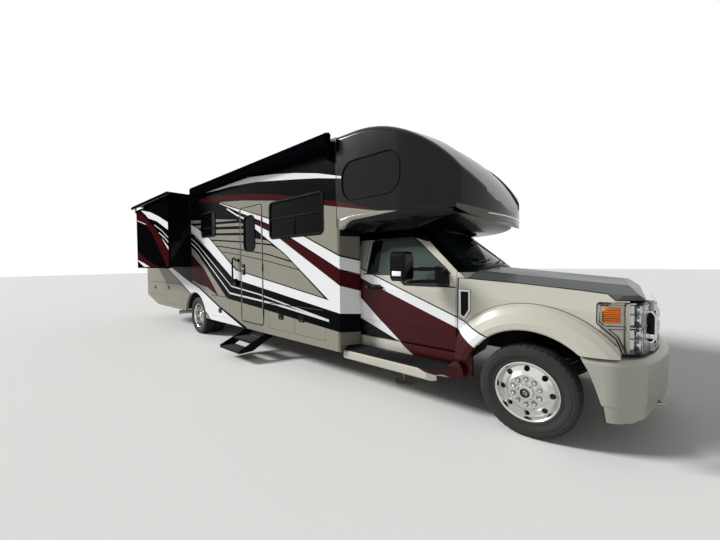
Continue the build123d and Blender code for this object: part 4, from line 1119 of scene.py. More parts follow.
class Skin:
    """The outer faces of a CAD node, to place things on and to make layers behind."""

    def __init__(self, node: str) -> None:
        """Merges a copy of the node's mesh, so that its faces know their neighbours."""
        self.form = bmesh.new()
        self.form.from_mesh(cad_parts[node].data)
        bmesh.ops.remove_doubles(self.form, verts=self.form.verts, dist=1e-5)
        self.form.normal_update()
        self.tree = BVHTree.FromBMesh(self.form)

    def hit(self, start: Vector, toward: Vector) -> Vector | None:
        """Where a ray in the row's frame first meets the node, if it does."""
        return self.tree.ray_cast(start, toward.normalized())[0]

    def from_side(self, side: Side, x: float, z: float) -> Vector:
        """The outer point at a station and height, seen from a side."""
        spot = self.hit(at(x, side.value * 3.0, z), Vector((0, -side.value, 0)))
        return spot if spot is not None else at(x, side.value * 1.0, z)

    def from_front(self, y: float, z: float) -> Vector:
        """The outer point at a distance to the left and a height, seen from the front."""
        spot = self.hit(at(3.0, y, z), Vector((-1, 0, 0)))
        return spot if spot is not None else at(0.8, y, z)

    def outer(self, least: float = 0.25) -> list[Face]:
        """The faces that look forwards or sideways with nothing of the node before them.

        Args:
            least: the least cosine between a face's normal and the way out.

        Returns:
            The faces.
        """
        chosen = []
        for face in self.form.faces:
            centre, normal = face.calc_center_median(), face.normal
            if normal.dot(way_out(centre)) < least:
                continue
            if self.hit(centre + normal * 1e-4, normal) is None:
                chosen.append(face)
        return chosen

    def layer(self, name: str, depth: float, cuts: Sequence[tuple[Vector, Vector]] = ()) -> Piece:
        """A copy of the outer faces, moved inwards and cut to what lies behind each plane.

        Args:
            name: the new piece's name.
            depth: how far inwards, in metres.
            cuts: pairs of a place and a direction; what lies on the direction's side goes.

        Returns:
            The new piece.
        """
        piece = Piece(name)
        copies: dict[int, Vert] = {}
        for face in self.outer():
            corners = []
            for vert in face.verts:
                if vert.index not in copies:
                    copies[vert.index] = piece.form.verts.new(vert.co)
                corners.append(copies[vert.index])
            piece.form.faces.new(corners)
        piece.form.normal_update()
        for vert in piece.form.verts:
            vert.co -= vert.normal * depth
        for place, toward in cuts:
            piece.cut(place, toward, clear=True)
        return piece


# Sub-assemblies.
@dataclass
class RoadWheels:
    """Tyres with moulded tread, wheel nuts and hub bolts."""

    radius: float = 0.406
    half_width: float = 0.112
    rim: float = 0.262
    axle_z: float = 0.406
    wheelbase: float = 6.650
    front_y: float = 0.950
    rear_ys: tuple[float, float] = (1.080, 0.826)
    steps: int = 180
    notch: float = 0.005
    # Where notches are sunk: distances inwards from the tread, and outwards from the tyre's middle.
    shoulder_depth: Point = (0.0035, 0.018)
    shoulder_out: Point = (0.066, 0.094)
    rib_depth: float = 0.003
    rib_out: Point = (0.027, 0.052)
    nuts: int = 10
    nut_circle: float = 0.1125
    nut_face: float = 0.092
    rear_nut_face: float = -0.040
    bolts: int = 8
    bolt_circle: float = 0.077
    bolt_face: float = 0.096
    hub_face: float = 0.124

    def profile(self) -> list[Point]:
        """The tyre's section as (radius, outward distance), with bead ribs and tread grooves."""
        r, w, rim = self.radius, self.half_width, self.rim
        half = [
            (rim - 0.012, 0.080), (rim - 0.004, 0.090), (rim + 0.006, 0.0935), (rim + 0.012, 0.0985),
            (rim + 0.020, 0.0985), (rim + 0.024, 0.0955), (rim + 0.040, 0.104), (rim + 0.058, w - 0.0025),
            (rim + 0.062, w - 0.0005), (rim + 0.078, w), (rim + 0.081, w - 0.0018), (rim + 0.094, w - 0.002),
            (rim + 0.098, w - 0.0005), (r - 0.034, w - 0.004), (r - 0.022, w - 0.007),
            (r - 0.010, w - 0.0125), (r - 0.003, w - 0.020), (r - 0.0015, w - 0.042),
        ]
        for middle in (0.058, 0.020):
            half += [
                (r - 0.0008, middle + 0.0065), (r - 0.011, middle + 0.0045), (r - 0.011, middle - 0.0045),
                (r, middle - 0.0065),
            ]
        return [*half, *((radius, -out) for radius, out in reversed(half))]

    def tyre(self, piece: Piece, x: float, y: float) -> None:
        """Spins one tyre about its axle and sinks the notches of its shoulders and ribs.

        Args:
            piece: the piece that it goes into.
            x: the axle's station.
            y: the tyre's middle.
        """
        old = set(piece.form.faces)
        piece.turned(self.profile(), (x, y, self.axle_z), Vector((0, 1, 0)), self.steps)
        axle = at(x, y, self.axle_z)
        shallow, deep = (self.radius - depth for depth in self.shoulder_depth)
        (inner, outer), (rib_inner, rib_outer) = self.shoulder_out, self.rib_out
        notches = []
        for face in piece.form.faces:
            if face in old:
                continue
            spot = face.calc_center_median() - axle
            reach, out = math.hypot(spot.x, spot.z), abs(spot.y)
            column = int((math.atan2(spot.z, spot.x) / math.tau + 1.0) * self.steps + 0.01)
            shoulder = shallow > reach > deep or (reach > shallow and inner < out < outer)
            rib = reach > self.radius - self.rib_depth and rib_inner < out < rib_outer
            if (shoulder and column % 4 == 0) or (rib and column % 4 == 2):
                notches.append(face)
        made = bmesh.ops.extrude_face_region(piece.form, geom=notches)
        bmesh.ops.delete(piece.form, geom=notches, context="FACES_ONLY")
        for vert in (item for item in made["geom"] if isinstance(item, Vert)):
            out = vert.co - axle
            vert.co -= Vector((out.x, 0.0, out.z)).normalized() * self.notch

    def circle(self, count: int, radius: float, x: float, y: float, phase: float = 0.5) -> list[Vector]:
        """Evenly spaced places round an axle.

        Args:
            count: how many.
            radius: their distance from the axle.
            x: the axle's station.
            y: their distance to the left.
            phase: how far the first one is turned on, in steps.

        Returns:
            The places.
        """
        turns = [math.tau * (i + phase) / count for i in range(count)]
        return [at(x + radius * math.cos(turn), y, self.axle_z + radius * math.sin(turn)) for turn in turns]

    def nut_ring(self, piece: Piece, x: float, y: float, away: Vector) -> None:
        """Adds a ring of capped wheel nuts.

        Args:
            piece: the piece that they go into.
            x: the axle's station.
            y: the nut ring's face.
            away: the outward direction.
        """
        for spot in self.circle(self.nuts, self.nut_circle, x, y):
            piece.rod(spot, spot + away * 0.026, 0.0165, 6, 0.0155)
            piece.rod(spot + away * 0.026, spot + away * 0.034, 0.0150, 12, 0.0085)

    def fastenings(self, side: Side) -> None:
        """Adds the nuts, washers and hub of one side's wheels.

        Args:
            side: the wheels' side.
        """
        name, sign = side.word, side.value
        front, away = f"front_wheel_{name}", Vector((0, side.value, 0))
        nut_y, bolt_y = sign * (self.front_y + self.nut_face), sign * (self.front_y + self.bolt_face)
        washers = Piece(f"nut_washers_front_{name}")
        for spot in self.circle(self.nuts, self.nut_circle, 0.0, nut_y):
            washers.rod(spot - away * 0.003, spot + away * 0.004, 0.022, 20)
        washers.done(Kit.STEEL, front)
        nuts = Piece(f"wheel_nuts_front_{name}")
        self.nut_ring(nuts, 0.0, nut_y, away)
        for spot in self.circle(self.bolts, self.bolt_circle, 0.0, bolt_y, phase=0.0):
            nuts.rod(spot, spot + away * 0.012, 0.0075, 6)
        nuts.done(Kit.CHROME, front)
        hub = at(0.0, sign * (self.front_y + self.hub_face), self.axle_z)
        # A dull black disc as painted shade in the hub's hollow.
        recess = Piece(f"hub_recess_{name}")
        recess.rod(hub - away * 0.002, hub + away * 0.0015, 0.036, 28).done(Kit.SHADOW, front)
        boss = Piece(f"hub_boss_{name}")
        boss.turned(
            [(0.021, 0.0), (0.021, 0.009), (0.017, 0.013), (0.011, 0.013), (0.009, 0.008), (0.0, 0.008)],
            (0.0, hub.y, self.axle_z), away, 24,
        )
        boss.done(Kit.STEEL, front)
        nuts = Piece(f"wheel_nuts_rear_{name}")
        self.nut_ring(nuts, -self.wheelbase, sign * (self.rear_ys[0] + self.rear_nut_face), away)
        nuts.done(Kit.CHROME, f"rear_wheels_{name}")

    def build(self) -> None:
        """Builds every tyre and its wheel's fastenings on both sides."""
        for side in Side:
            name, sign = side.word, side.value
            front = Piece(f"road_tyre_front_{name}")
            self.tyre(front, 0.0, sign * self.front_y)
            tyre = front.done(Kit.RUBBER, f"front_wheel_{name}")
            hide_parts(f"tyre_front_{name}")
            rear = Piece(f"road_tyres_rear_{name}")
            for y in self.rear_ys:
                self.tyre(rear, -self.wheelbase, sign * y)
            tyres = rear.done(Kit.RUBBER, f"rear_wheels_{name}")
            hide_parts(f"tyres_rear_{name}")
            self.fastenings(side)


@dataclass
class Arches:
    """The dark liners inside the front wheel arches."""

    radius: float = 0.549
    x: float = 0.010
    z: float = 0.400
    y: Point = (0.600, 0.955)
    rise: float = math.radians(22)
    thickness: float = 0.004

    def build(self) -> None:
        """Bends one liner over each front wheel."""
        for side in Side:
            piece = Piece(f"arch_liner_{side.word}")
            x, z = self.x + self.radius * math.cos(self.rise), self.z + self.radius * math.sin(self.rise)
            verts = [piece.form.verts.new(at(x, side.value * y, z)) for y in self.y]
            edge = piece.form.edges.new(verts)
            bmesh.ops.spin(
                piece.form, geom=[*verts, edge], cent=at(self.x, 0, self.z), axis=(0, -1, 0), dvec=(0, 0, 0),
                angle=math.pi - 2 * self.rise, steps=40, use_merge=False, use_duplicate=False,
            )
            bmesh.ops.solidify(piece.form, geom=piece.form.faces[:], thickness=self.thickness)
            piece.done(Kit.PLASTIC)


@dataclass
class Headlamps:
    """The headlamps' inner parts, behind the clear face of the CAD units."""

    glass_depth: float = 0.014
    bezel_front: float = 0.668
    amber_x: Point = (0.530, 0.634)
    amber_z: Point = (1.068, 1.192)
    bezel_depth: float = 0.034
    amber_depth: float = 0.024
    mirror_depth: float = 0.056
    module_y: float = -0.745
    module_zs: tuple[float, ...] = (0.885, 0.985, 1.085, 1.170)
    bar_zs: tuple[float, ...] = (0.935, 1.035, 1.130)

    def dress(self, skin: Skin) -> None:
        """Gives the CAD units clear faces over a dark housing.

        Args:
            skin: the units' own faces.
        """
        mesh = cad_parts["headlamps"].data
        mesh.materials.clear()
        for finish in (Kit.PLASTIC, Kit.CLEAR):
            mesh.materials.append(finish.material)
        for face in mesh.polygons:
            centre, normal = face.center, face.normal
            facing = normal.dot(way_out(centre))
            outer = facing > 0.25 and skin.hit(centre + normal * 1e-4, normal) is None
            behind = skin.hit(centre - normal * 1e-4, -normal) if facing < -0.25 else None
            inner = behind is not None and (behind - centre).length < self.glass_depth
            face.material_index = 1 if outer or inner else 0

    def strips(self, piece: Piece, z: Point, count: int, proud: float) -> None:
        """Cuts a layer into level strips and raises every second one.

        Args:
            piece: the layer.
            z: the strips' lowest and highest heights.
            count: how many raised strips.
            proud: how far they stand out.
        """
        pitch = (z[1] - z[0]) / (2 * count + 1)
        for i in range(1, 2 * count + 1):
            piece.cut(at(0, 0, z[0] + i * pitch), Vector((0, 0, 1)))
        piece.form.normal_update()
        raised = [f for f in piece.form.faces if int((f.calc_center_median().z - z[0]) / pitch) % 2 == 1]
        for side in Side:
            faces = [f for f in raised if f.calc_center_median().y * side.value > 0]
            if faces:
                piece.raise_faces(faces, Vector((proud, side.value * proud, 0)))

    def layers(self, skin: Skin) -> None:
        """Sets the side bezels, the ribbed marker lamps and the mirrors behind the clear faces.

        Args:
            skin: the units' own faces.
        """
        ahead, up = Vector((1, 0, 0)), Vector((0, 0, 1))
        split = at(self.bezel_front, 0, 0)
        skin.layer("headlamp_side_bezels", self.bezel_depth, [(split, ahead)]).done(Kit.SATIN, closed=False)
        amber = skin.layer(
            "headlamp_markers", self.amber_depth,
            [
                (at(self.amber_x[1], 0, 0), ahead), (at(self.amber_x[0], 0, 0), -ahead),
                (at(0, 0, self.amber_z[1]), up), (at(0, 0, self.amber_z[0]), -up),
            ],
        )
        self.strips(amber, self.amber_z, 7, 0.004)
        amber.done(Kit.AMBER, closed=False)
        mirror = skin.layer("headlamp_reflectors", self.mirror_depth, [(split, -ahead)])
        mirror.done(Kit.CHROME, closed=False)

    def build(self) -> None:
        """Adds bezels, marker lamps and lamp modules to both units."""
        skin = Skin("headlamps")
        self.dress(skin)
        self.layers(skin)
        modules, rims = Piece("headlamp_modules"), Piece("headlamp_module_rims")
        frames = Piece("headlamp_cell_frames")
        toward = Vector((1.0, -0.25, 0.0))
        for z in self.module_zs:
            place = (skin.from_front(self.module_y, z).x - STATION - 0.046, self.module_y, z)
            rims.turned(
                [(0.026, 0.0), (0.036, 0.012), (0.039, 0.012), (0.041, 0.0), (0.026, 0.0)], place, toward, 24
            )
            modules.turned(
                [(0.028, -0.004), (0.026, 0.006), (0.018, 0.013), (0.009, 0.016), (0.0, 0.017)], place,
                toward, 24,
            )
        for z in self.bar_zs:
            x = skin.from_front(self.module_y, z).x - STATION
            frames.box((x - 0.060, x - 0.030), (-0.86, -0.640), (z - 0.006, z + 0.006), 0.002)
        upright = skin.from_side(Side.RIGHT, 0.672, 0.95)
        frames.box((0.662, 0.690), (upright.y + 0.018, upright.y + 0.060), (0.832, 1.226), 0.004)
        for piece, finish in ((modules, Kit.LENS), (rims, Kit.CHROME), (frames, Kit.SATIN)):
            piece.both_sides().done(finish)


@dataclass
class Grille:
    """The grille's black mesh, the dark inlays of its bars and the bright brackets round their ends."""

    half: float = 0.555
    z: Point = (0.880, 1.182)
    cell: float = 0.030
    dark_from: float = 0.012
    probe: Point = (0.59, 0.972)
    lean_from: float = 1.11
    lean: float = 0.42
    mesh_depth: float = 0.034
    # Columns: the inlay's height, half its width and half its depth in height.
    inlay_rows: tuple[Spot, ...] = (
        (0.972, 0.462, 0.012), (1.090, 0.462, 0.012), (0.853, 0.555, 0.006), (1.209, 0.555, 0.006),
    )

    def __post_init__(self) -> None:
        """Finds how far the front face bows, from its middle to its side."""
        self.skin = Skin("grille")
        y, z = self.probe
        self.crown = self.skin.from_front(0.0, z).x
        self.bow = self.crown - self.skin.from_front(y, z).x

    def front(self, y: float, z: float) -> float:
        """The front face's x in the row's frame, where it bows sideways and leans back at its top."""
        return self.crown - self.bow * (y / self.probe[0]) ** 2 - max(0.0, z - self.lean_from) * self.lean

    def dress(self) -> None:
        """Darkens what lies behind the bars."""
        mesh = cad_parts["grille"].data
        mesh.materials.clear()
        for finish in (Kit.DARK_CHROME, Kit.GLOSS_BLACK):
            mesh.materials.append(finish.material)
        for face in mesh.polygons:
            x, y, z = face.center
            within = abs(y) < self.half + 0.004 and self.z[0] - 0.004 < z < self.z[1] + 0.004
            face.material_index = int(within and x < self.front(y, z) - self.dark_from)

    def lattice(self) -> None:
        """Fills the windows between the bars with a mesh of six-sided cells."""
        piece = Piece("grille_mesh")
        pitch = self.cell * 0.87
        for row in range(int((self.z[1] - self.z[0]) / pitch) + 1):
            z = self.z[0] + row * pitch
            for column in range(int(2 * self.half / self.cell) + 1):
                y = -self.half + column * self.cell + (self.cell / 2 if row % 2 else 0)
                if abs(y) > self.half:
                    continue
                centre = Vector((self.front(y, z) - self.mesh_depth, y, z))
                made = bmesh.ops.create_circle(
                    piece.form, cap_ends=True, segments=6, radius=self.cell * 0.56,
                    matrix=Matrix.Translation(centre) @ Matrix.Rotation(math.pi / 2, 4, "Y"),
                )
                face = made["verts"][0].link_faces[0]
                face.normal_update()
                ring = bmesh.ops.inset_region(
                    piece.form, faces=[face], thickness=self.cell * 0.11, use_boundary=True
                )["faces"]
                bmesh.ops.delete(piece.form, geom=[face], context="FACES")
                piece.raise_faces(ring, Vector((0.008, 0, 0)))
        piece.done(Kit.GLOSS_BLACK)

    def inlays(self) -> None:
        """Sinks a dark strip into each bar and into the surround above and below them."""
        piece = Piece("grille_bar_inlays")
        for z, half, tall in self.inlay_rows:
            sections = []
            for i in range(37):
                y = half * (i / 18 - 1)
                x = min(self.skin.from_front(y, z + lift * tall).x for lift in (-1, 0, 1))
                corners = ((-0.006, -1), (0.002, -1), (0.002, 1), (-0.006, 1))
                sections.append([Vector((x + out, y, z + lift * tall)) for out, lift in corners])
            piece.ribbon(sections)
        piece.done(Kit.GLOSS_BLACK)

    def brackets(self) -> None:
        """Wraps a bright frame with a dark core round both ends of the bars."""
        bracket, core = Piece("grille_end_brackets"), Piece("grille_bracket_cores")
        flank = (
            (0.752, 0.930), (0.775, 0.890), (0.830, 0.890), (0.853, 0.930), (0.853, 1.110), (0.830, 1.150),
            (0.775, 1.150), (0.752, 1.110),
        )
        face = (
            (0.470, 0.930), (0.500, 0.892), (0.615, 0.892), (0.638, 0.930), (0.638, 1.110), (0.615, 1.148),
            (0.500, 1.148), (0.470, 1.110),
        )
        for side in (-1, 1):
            front = [(side * y, z) for y, z in face]
            core.slab(flank, side * 0.500, side * 0.633, Axis.Y)
            core.slab(front, 0.840, 0.852, Axis.X)
            bracket.slab(flank, side * 0.626, side * 0.640, Axis.Y, 0.003, hollow=0.013)
            bracket.slab(front, 0.842, 0.857, Axis.X, 0.003, hollow=0.014)
            bracket.box((0.772, 0.842), (side * 0.637 - 0.004, side * 0.637 + 0.004), (0.928, 0.962), 0.002)
        bracket.done(Kit.CHROME)
        core.done(Kit.GLOSS_BLACK)

    def build(self) -> None:
        """Dresses the grille and adds its mesh, inlays and brackets."""
        self.dress()
        self.lattice()
        self.inlays()
        self.brackets()


@dataclass
class CabTrim:
    """The cab's window surrounds, handles, vents, mirror fittings, lower panels, wipers and screen seal."""

    arch: Point = (0.010, 0.400)
    crease_radius: float = 0.787
    crease_half: float = 0.0020
    crease_turn: Point = (40.0, 138.0)
    crease_steps: int = 60
    # The door's outer face: heights with their distances from the middle.
    door_side: Line = (
        (0.56, 0.930), (0.64, 0.984), (0.82, 0.996), (0.85, 1.006), (1.24, 1.000), (1.42, 0.978),
        (1.925, 0.806),
    )
    glass_line: Line = (
        (-0.738, 1.300), (-0.738, 1.445), (-0.790, 1.499), (-1.172, 1.808), (-1.248, 1.857), (-1.855, 1.857),
        (-1.881, 1.824), (-1.881, 1.419), (-1.432, 1.419), (-1.290, 1.300),
    )
    pillar_line: Line = (
        (-1.873, 1.43), (-1.873, 1.82), (-1.855, 1.846), (-1.722, 1.846), (-1.712, 1.43),
    )
    belt_line: Line = (
        (-1.925, 1.409), (-1.925, 1.425), (-1.436, 1.425), (-1.296, 1.306), (-0.672, 1.306), (-0.672, 1.294),
        (-1.30, 1.294), (-1.440, 1.409),
    )
    vent_line: Line = (
        (-0.630, 1.280), (-0.516, 1.278), (-0.516, 1.074), (-0.572, 0.982), (-0.630, 1.014),
    )
    rocker_line: Line = ((-2.052, 0.470), (-2.052, 0.612), (-0.652, 0.612), (-0.652, 0.470))
    fender_foot: Line = (
        (-0.655, 0.612), (-0.500, 0.612), (-0.494, 0.500), (-0.500, 0.410), (-0.520, 0.388), (-0.570, 0.380),
        (-0.602, 0.420), (-0.620, 0.500), (-0.655, 0.520),
    )
    board_cap: Line = (
        (-0.930, 0.440), (-0.820, 0.470), (-0.720, 0.496), (-0.660, 0.545), (-0.622, 0.556), (-0.588, 0.540),
        (-0.560, 0.480), (-0.545, 0.410), (-0.575, 0.392), (-0.700, 0.372), (-0.900, 0.352),
    )

    def side_y(self, z: float) -> float:
        """The door's outer face at a height.

        Args:
            z: the height.

        Returns:
            Its distance from the middle.
        """
        for (z0, y0), (z1, y1) in zip(self.door_side, self.door_side[1:]):
            if z <= z1:
                return y0 + (y1 - y0) * (z - z0) / (z1 - z0)
        return self.door_side[-1][1]

    def on_door(
        self, name: str, side: Side, outline: Sequence[Point], depth: Point, bevel: float,
        finish: Kit, hollow: float = 0.0,
    ) -> None:
        """Lays a moulding on the door's curved side.

        Args:
            name: the piece's name without its side.
            side: the door's side.
            outline: the moulding's stations and heights.
            depth: where it starts and ends, outwards from the door's face.
            bevel: the rounding of its edges.
            finish: its finish.
            hollow: the width of its frame, or 0 for a full moulding.
        """
        piece = Piece(f"{name}_{side.word}").slab(outline, *depth, Axis.Y, bevel, hollow)
        for vert in piece.form.verts:
            vert.co.y = side.value * (self.side_y(vert.co.z) + vert.co.y)
        piece.done(finish, f"cab_door_{side.word}")

    def glazing(self, side: Side) -> None:
        """Adds the door glass' surround, the wide pillar behind it and the belt moulding."""
        self.on_door("door_glass_seal", side, self.glass_line, (-0.013, 0.0025), 0.001, Kit.PLASTIC, 0.017)
        self.on_door("door_pillar_cover", side, self.pillar_line, (-0.014, -0.006), 0.002, Kit.GLOSS_BLACK)
        self.on_door("door_belt_moulding", side, self.belt_line, (-0.004, 0.005), 0.0015, Kit.PLASTIC)

    def handle(self, side: Side) -> None:
        """Adds the pull handle over its hollow, with the lock beside it.

        Args:
            side: the door's side.
        """
        door, base = f"cab_door_{side.word}", self.side_y(1.25)
        # The handle's hollow is a dull black slab of painted shade.
        cup = Piece(f"door_handle_cup_{side.word}")
        hollow = round_outline((-1.795, -1.625), (1.215, 1.288), 0.030)
        cup.slab(hollow, *side.pair(base, -0.004, 0.0012), Axis.Y)
        cup.done(Kit.SHADOW, door)
        grip = Piece(f"door_handle_{side.word}")
        grip.box((-1.815, -1.600), side.pair(base, 0.022, 0.038), (1.236, 1.268), 0.007)
        for x in ((-1.815, -1.790), (-1.628, -1.600)):
            grip.box(x, side.pair(base, -0.002, 0.034), (1.236, 1.268), 0.006)
        grip.done(Kit.GLOSS_BLACK, door)
        lock = Piece(f"door_lock_{side.word}")
        spot = at(-1.868, side.value * (base - 0.002), 1.252)
        lock.rod(spot, spot + Vector((0, side.value * 0.006, 0)), 0.011, 20).done(Kit.STEEL, door)

    def vent(self, skin: Skin, side: Side) -> None:
        """Adds the fender's side vent: a bright rim round dark slats.

        Args:
            skin: the fenders' outer faces.
            side: the fender's side.
        """
        out = abs(skin.from_side(side, -0.50, 1.18).y)
        rim = Piece(f"fender_vent_rim_{side.word}")
        rim.slab(self.vent_line, *side.pair(out, -0.018, 0.006), Axis.Y, 0.003, hollow=0.018)
        rim.done(Kit.CHROME)
        back = Piece(f"fender_vent_back_{side.word}")
        back.slab(self.vent_line, *side.pair(out, -0.030, -0.016), Axis.Y)
        for i in range(9):
            z = 1.040 + i * 0.026
            back.box((-0.622, -0.526), side.pair(out, -0.017, -0.004), (z, z + 0.009), 0.002)
        back.done(Kit.GLOSS_BLACK)

    def crease(self, skin: Skin, side: Side) -> None:
        """Draws a dark ribbon of painted shade round the fender where its flare begins.

        Args:
            skin: the fenders' outer faces.
            side: the fender's side.
        """
        sections, (first, last) = [], self.crease_turn
        for i in range(self.crease_steps + 1):
            turn = math.radians(first + (last - first) * i / self.crease_steps)
            section = []
            for edge, lift in ((-1, -0.004), (-1, 0.0011), (1, 0.0011), (1, -0.004)):
                far = self.crease_radius + edge * self.crease_half
                x, z = self.arch[0] + far * math.cos(turn), self.arch[1] + far * math.sin(turn)
                section.append(skin.from_side(side, x, z) + Vector((0, side.value * lift, 0)))
            sections.append(section)
        Piece(f"fender_flare_crease_{side.word}").ribbon(sections).done(Kit.SHADOW)

    def mirror(self, side: Side) -> None:
        """Adds the towing mirror's lit strip, seam, glass and arm sleeves.

        Args:
            side: the mirror's side.
        """
        door, word = f"cab_door_{side.word}", side.word
        strip = Piece(f"mirror_marker_{word}")
        strip.box((-1.150, -1.040), side.pair(0.0, 1.4445, 1.4525), (1.425, 1.475), 0.004)
        strip.done(Kit.LENS, door)
        seam = Piece(f"mirror_seam_{word}")
        seam.box((-1.155, -1.030), side.pair(0.0, 1.4475, 1.4515), (1.395, 1.400), 0.001)
        seam.done(Kit.SHADOW, door)
        glass = Piece(f"mirror_glass_{word}")
        near, far = sorted(side.pair(0.0, 1.262, 1.428))
        for z in ((1.480, 1.650), (1.395, 1.470)):
            glass.slab(round_outline((near, far), z, 0.022), -1.1765, -1.1735, Axis.X)
        glass.done(Kit.MIRROR, door)
        sleeve = Piece(f"mirror_arm_sleeves_{word}")
        for z in (1.490, 1.358):
            for i in range(5):
                share = 0.30 + i * 0.075
                x, y = -0.845 - share * 0.22, side.pair(1.015 + share * 0.235, -0.007, 0.007)
                sleeve.box((x - 0.033, x + 0.033), y, (z - 0.021, z + 0.021), 0.003)
        sleeve.done(Kit.PLASTIC, door)

    def moulding(self, name: str, side: Side, outline: Sequence[Point], depth: Point, bevel: float) -> None:
        """Adds one painted panel below the doors or behind the front wheel.

        Args:
            name: the piece's name without its side.
            side: its side.
            outline: its stations and heights.
            depth: its inner and outer distance from the middle.
            bevel: the rounding of its edges.
        """
        piece = Piece(f"{name}_{side.word}").slab(outline, *side.pair(0.0, *depth), Axis.Y, bevel)
        piece.done(Kit.CAB)

    def wipers(self, skin: Skin) -> None:
        """Lays a blade with its arm along the foot of each half of the windscreen.

        Args:
            skin: the fixed glass' outer faces.
        """
        piece = Piece("wipers")
        for pivot, tip in ((-0.62, -0.02), (0.02, 0.60)):
            route = []
            for share in (i / 8 for i in range(9)):
                spot = skin.from_front(pivot + (tip - pivot) * share, 1.540 + 0.045 * share)
                route.append(spot + Vector((0.010, 0, 0.008)))
            piece.pipe(route, 0.006, 8)
            start = at(-0.615, pivot + 0.12, 1.497)
            piece.rod(start, start + Vector((0, 0, 0.030)), 0.016, 16)
            elbow, grip = route[2] + Vector((0.012, 0, 0.006)), route[4] + Vector((0.006, 0, 0.004))
            piece.pipe([start + Vector((0, 0, 0.022)), elbow, grip], 0.008, 8)
        piece.done(Kit.PLASTIC)

    def screen_seal(self, skin: Skin) -> None:
        """Runs the rubber seal round the windscreen.

        Args:
            skin: the fixed glass' outer faces.
        """
        corners = ((-0.792, 1.532), (-0.632, 1.955), (0.632, 1.955), (0.792, 1.532), (-0.792, 1.532))
        route = []
        for (y0, z0), (y1, z1) in zip(corners, corners[1:]):
            for share in (i / 8 for i in range(8)):
                start = at(1.5, y0 + (y1 - y0) * share, z0 + (z1 - z0) * share)
                spot = skin.hit(start, Vector((-1, 0, 0)))
                if spot is not None and spot.x > STATION - 1.5:
                    route.append(spot + Vector((0.002, 0, 0)))
        Piece("windscreen_seal").pipe([*route, route[0]], 0.011, 8).done(Kit.PLASTIC)

    def build(self) -> None:
        """Builds the trim of both sides and of the windscreen."""
        fenders, glass = Skin("front_fenders"), Skin("fixed_windows")
        for side in Side:
            self.moulding("rocker_panel", side, self.rocker_line, (0.945, 0.982), 0.008)
            self.glazing(side)
            self.handle(side)
            self.vent(fenders, side)
            self.crease(fenders, side)
            self.mirror(side)
            self.moulding("fender_lower_panel", side, self.fender_foot, (0.955, 0.994), 0.008)
            self.moulding("board_front_cap", side, self.board_cap, (1.000, 1.082), 0.022)
        self.wipers(glass)
        self.screen_seal(glass)


@dataclass
class BoardTrim:
    """The running boards' dark ribbed treads and the bumper's tow hooks."""

    x: Point = (-2.060, -0.920)
    inner_y: float = 1.062
    pitch: float = 0.0145
    strips: int = 9
    narrows_from: float = 1.06
    narrowing: float = 2.4
    top: float = 0.5015
    falls_from: float = 1.075
    fall: float = 0.056 / 0.115
    hook_y: float = 0.62
    # Columns: metres ahead of the bumper's face and left of the hook's middle, and the height.
    hook: tuple[Spot, ...] = (
        (-0.090, -0.024, 0.412), (-0.010, -0.024, 0.410), (0.012, -0.015, 0.408), (0.020, 0.0, 0.407),
        (0.012, 0.015, 0.408), (-0.010, 0.024, 0.410), (-0.090, 0.024, 0.412),
    )

    def build(self) -> None:
        """Lays tread strips on both boards and sets the hooks."""
        tread = Piece("running_board_treads")
        for i in range(self.strips):
            y = self.inner_y + i * self.pitch
            z = self.top - max(0.0, y - self.falls_from) * self.fall
            front = self.x[1] - max(0.0, y - self.narrows_from) * self.narrowing
            tread.box((self.x[0], front), (y - 0.0045, y + 0.0045), (z - 0.010, z + 0.0035), 0.0015)
        tread.both_sides().done(Kit.PLASTIC)
        skin, hooks = Skin("front_bumper"), Piece("tow_hooks")
        for y in (-self.hook_y, self.hook_y):
            face = skin.from_front(y, 0.47).x - STATION
            hooks.pipe([at(face + ahead, y + aside, z) for ahead, aside, z in self.hook], 0.011, 12)
        hooks.done(Kit.STEEL)


class Sash(Enum):
    """How a window opens, which sets its dividing bars."""

    FIXED = "no bar"
    VENT = "a bar over the vent at its foot"
    SLIDING = "a bar in the middle and an upright between the panes below it"


@dataclass(frozen=True)
class Pane:
    """A window set in a side wall: its stations, heights, corner radius and sash."""

    name: str
    body: str
    side: Side
    out: float
    x: Point
    z: Point
    radius: float = 0.060
    sash: Sash = Sash.FIXED


HOUSE_PANES = (
    Pane("living_window", "coach", Side.RIGHT, 1.257, (-3.620, -2.400), (1.970, 2.500), sash=Sash.SLIDING),
    Pane("bath_window", "coach", Side.RIGHT, 1.257, (-6.190, -5.550), (2.140, 2.600), sash=Sash.VENT),
    Pane("dinette_window", "coach", Side.LEFT, 1.257, (-2.850, -2.350), (1.900, 2.450), sash=Sash.VENT),
    Pane("bedroom_window", "coach", Side.LEFT, 1.257, (-8.900, -7.900), (1.900, 2.450), sash=Sash.VENT),
    Pane(
        "slide_window", "slide_out_left", Side.LEFT, 1.707, (-5.500, -3.500), (1.700, 2.350),
        sash=Sash.SLIDING,
    ),
    Pane("entry_window", "entry_door", Side.RIGHT, 1.257, (-4.430, -4.100), (1.800, 2.370), 0.090),
    Pane("bunk_window_right", "coach", Side.RIGHT, 1.257, (-2.030, -1.180), (2.330, 2.800), 0.180),
    Pane("bunk_window_left", "coach", Side.LEFT, 1.257, (-2.030, -1.180), (2.330, 2.800), 0.180),
)


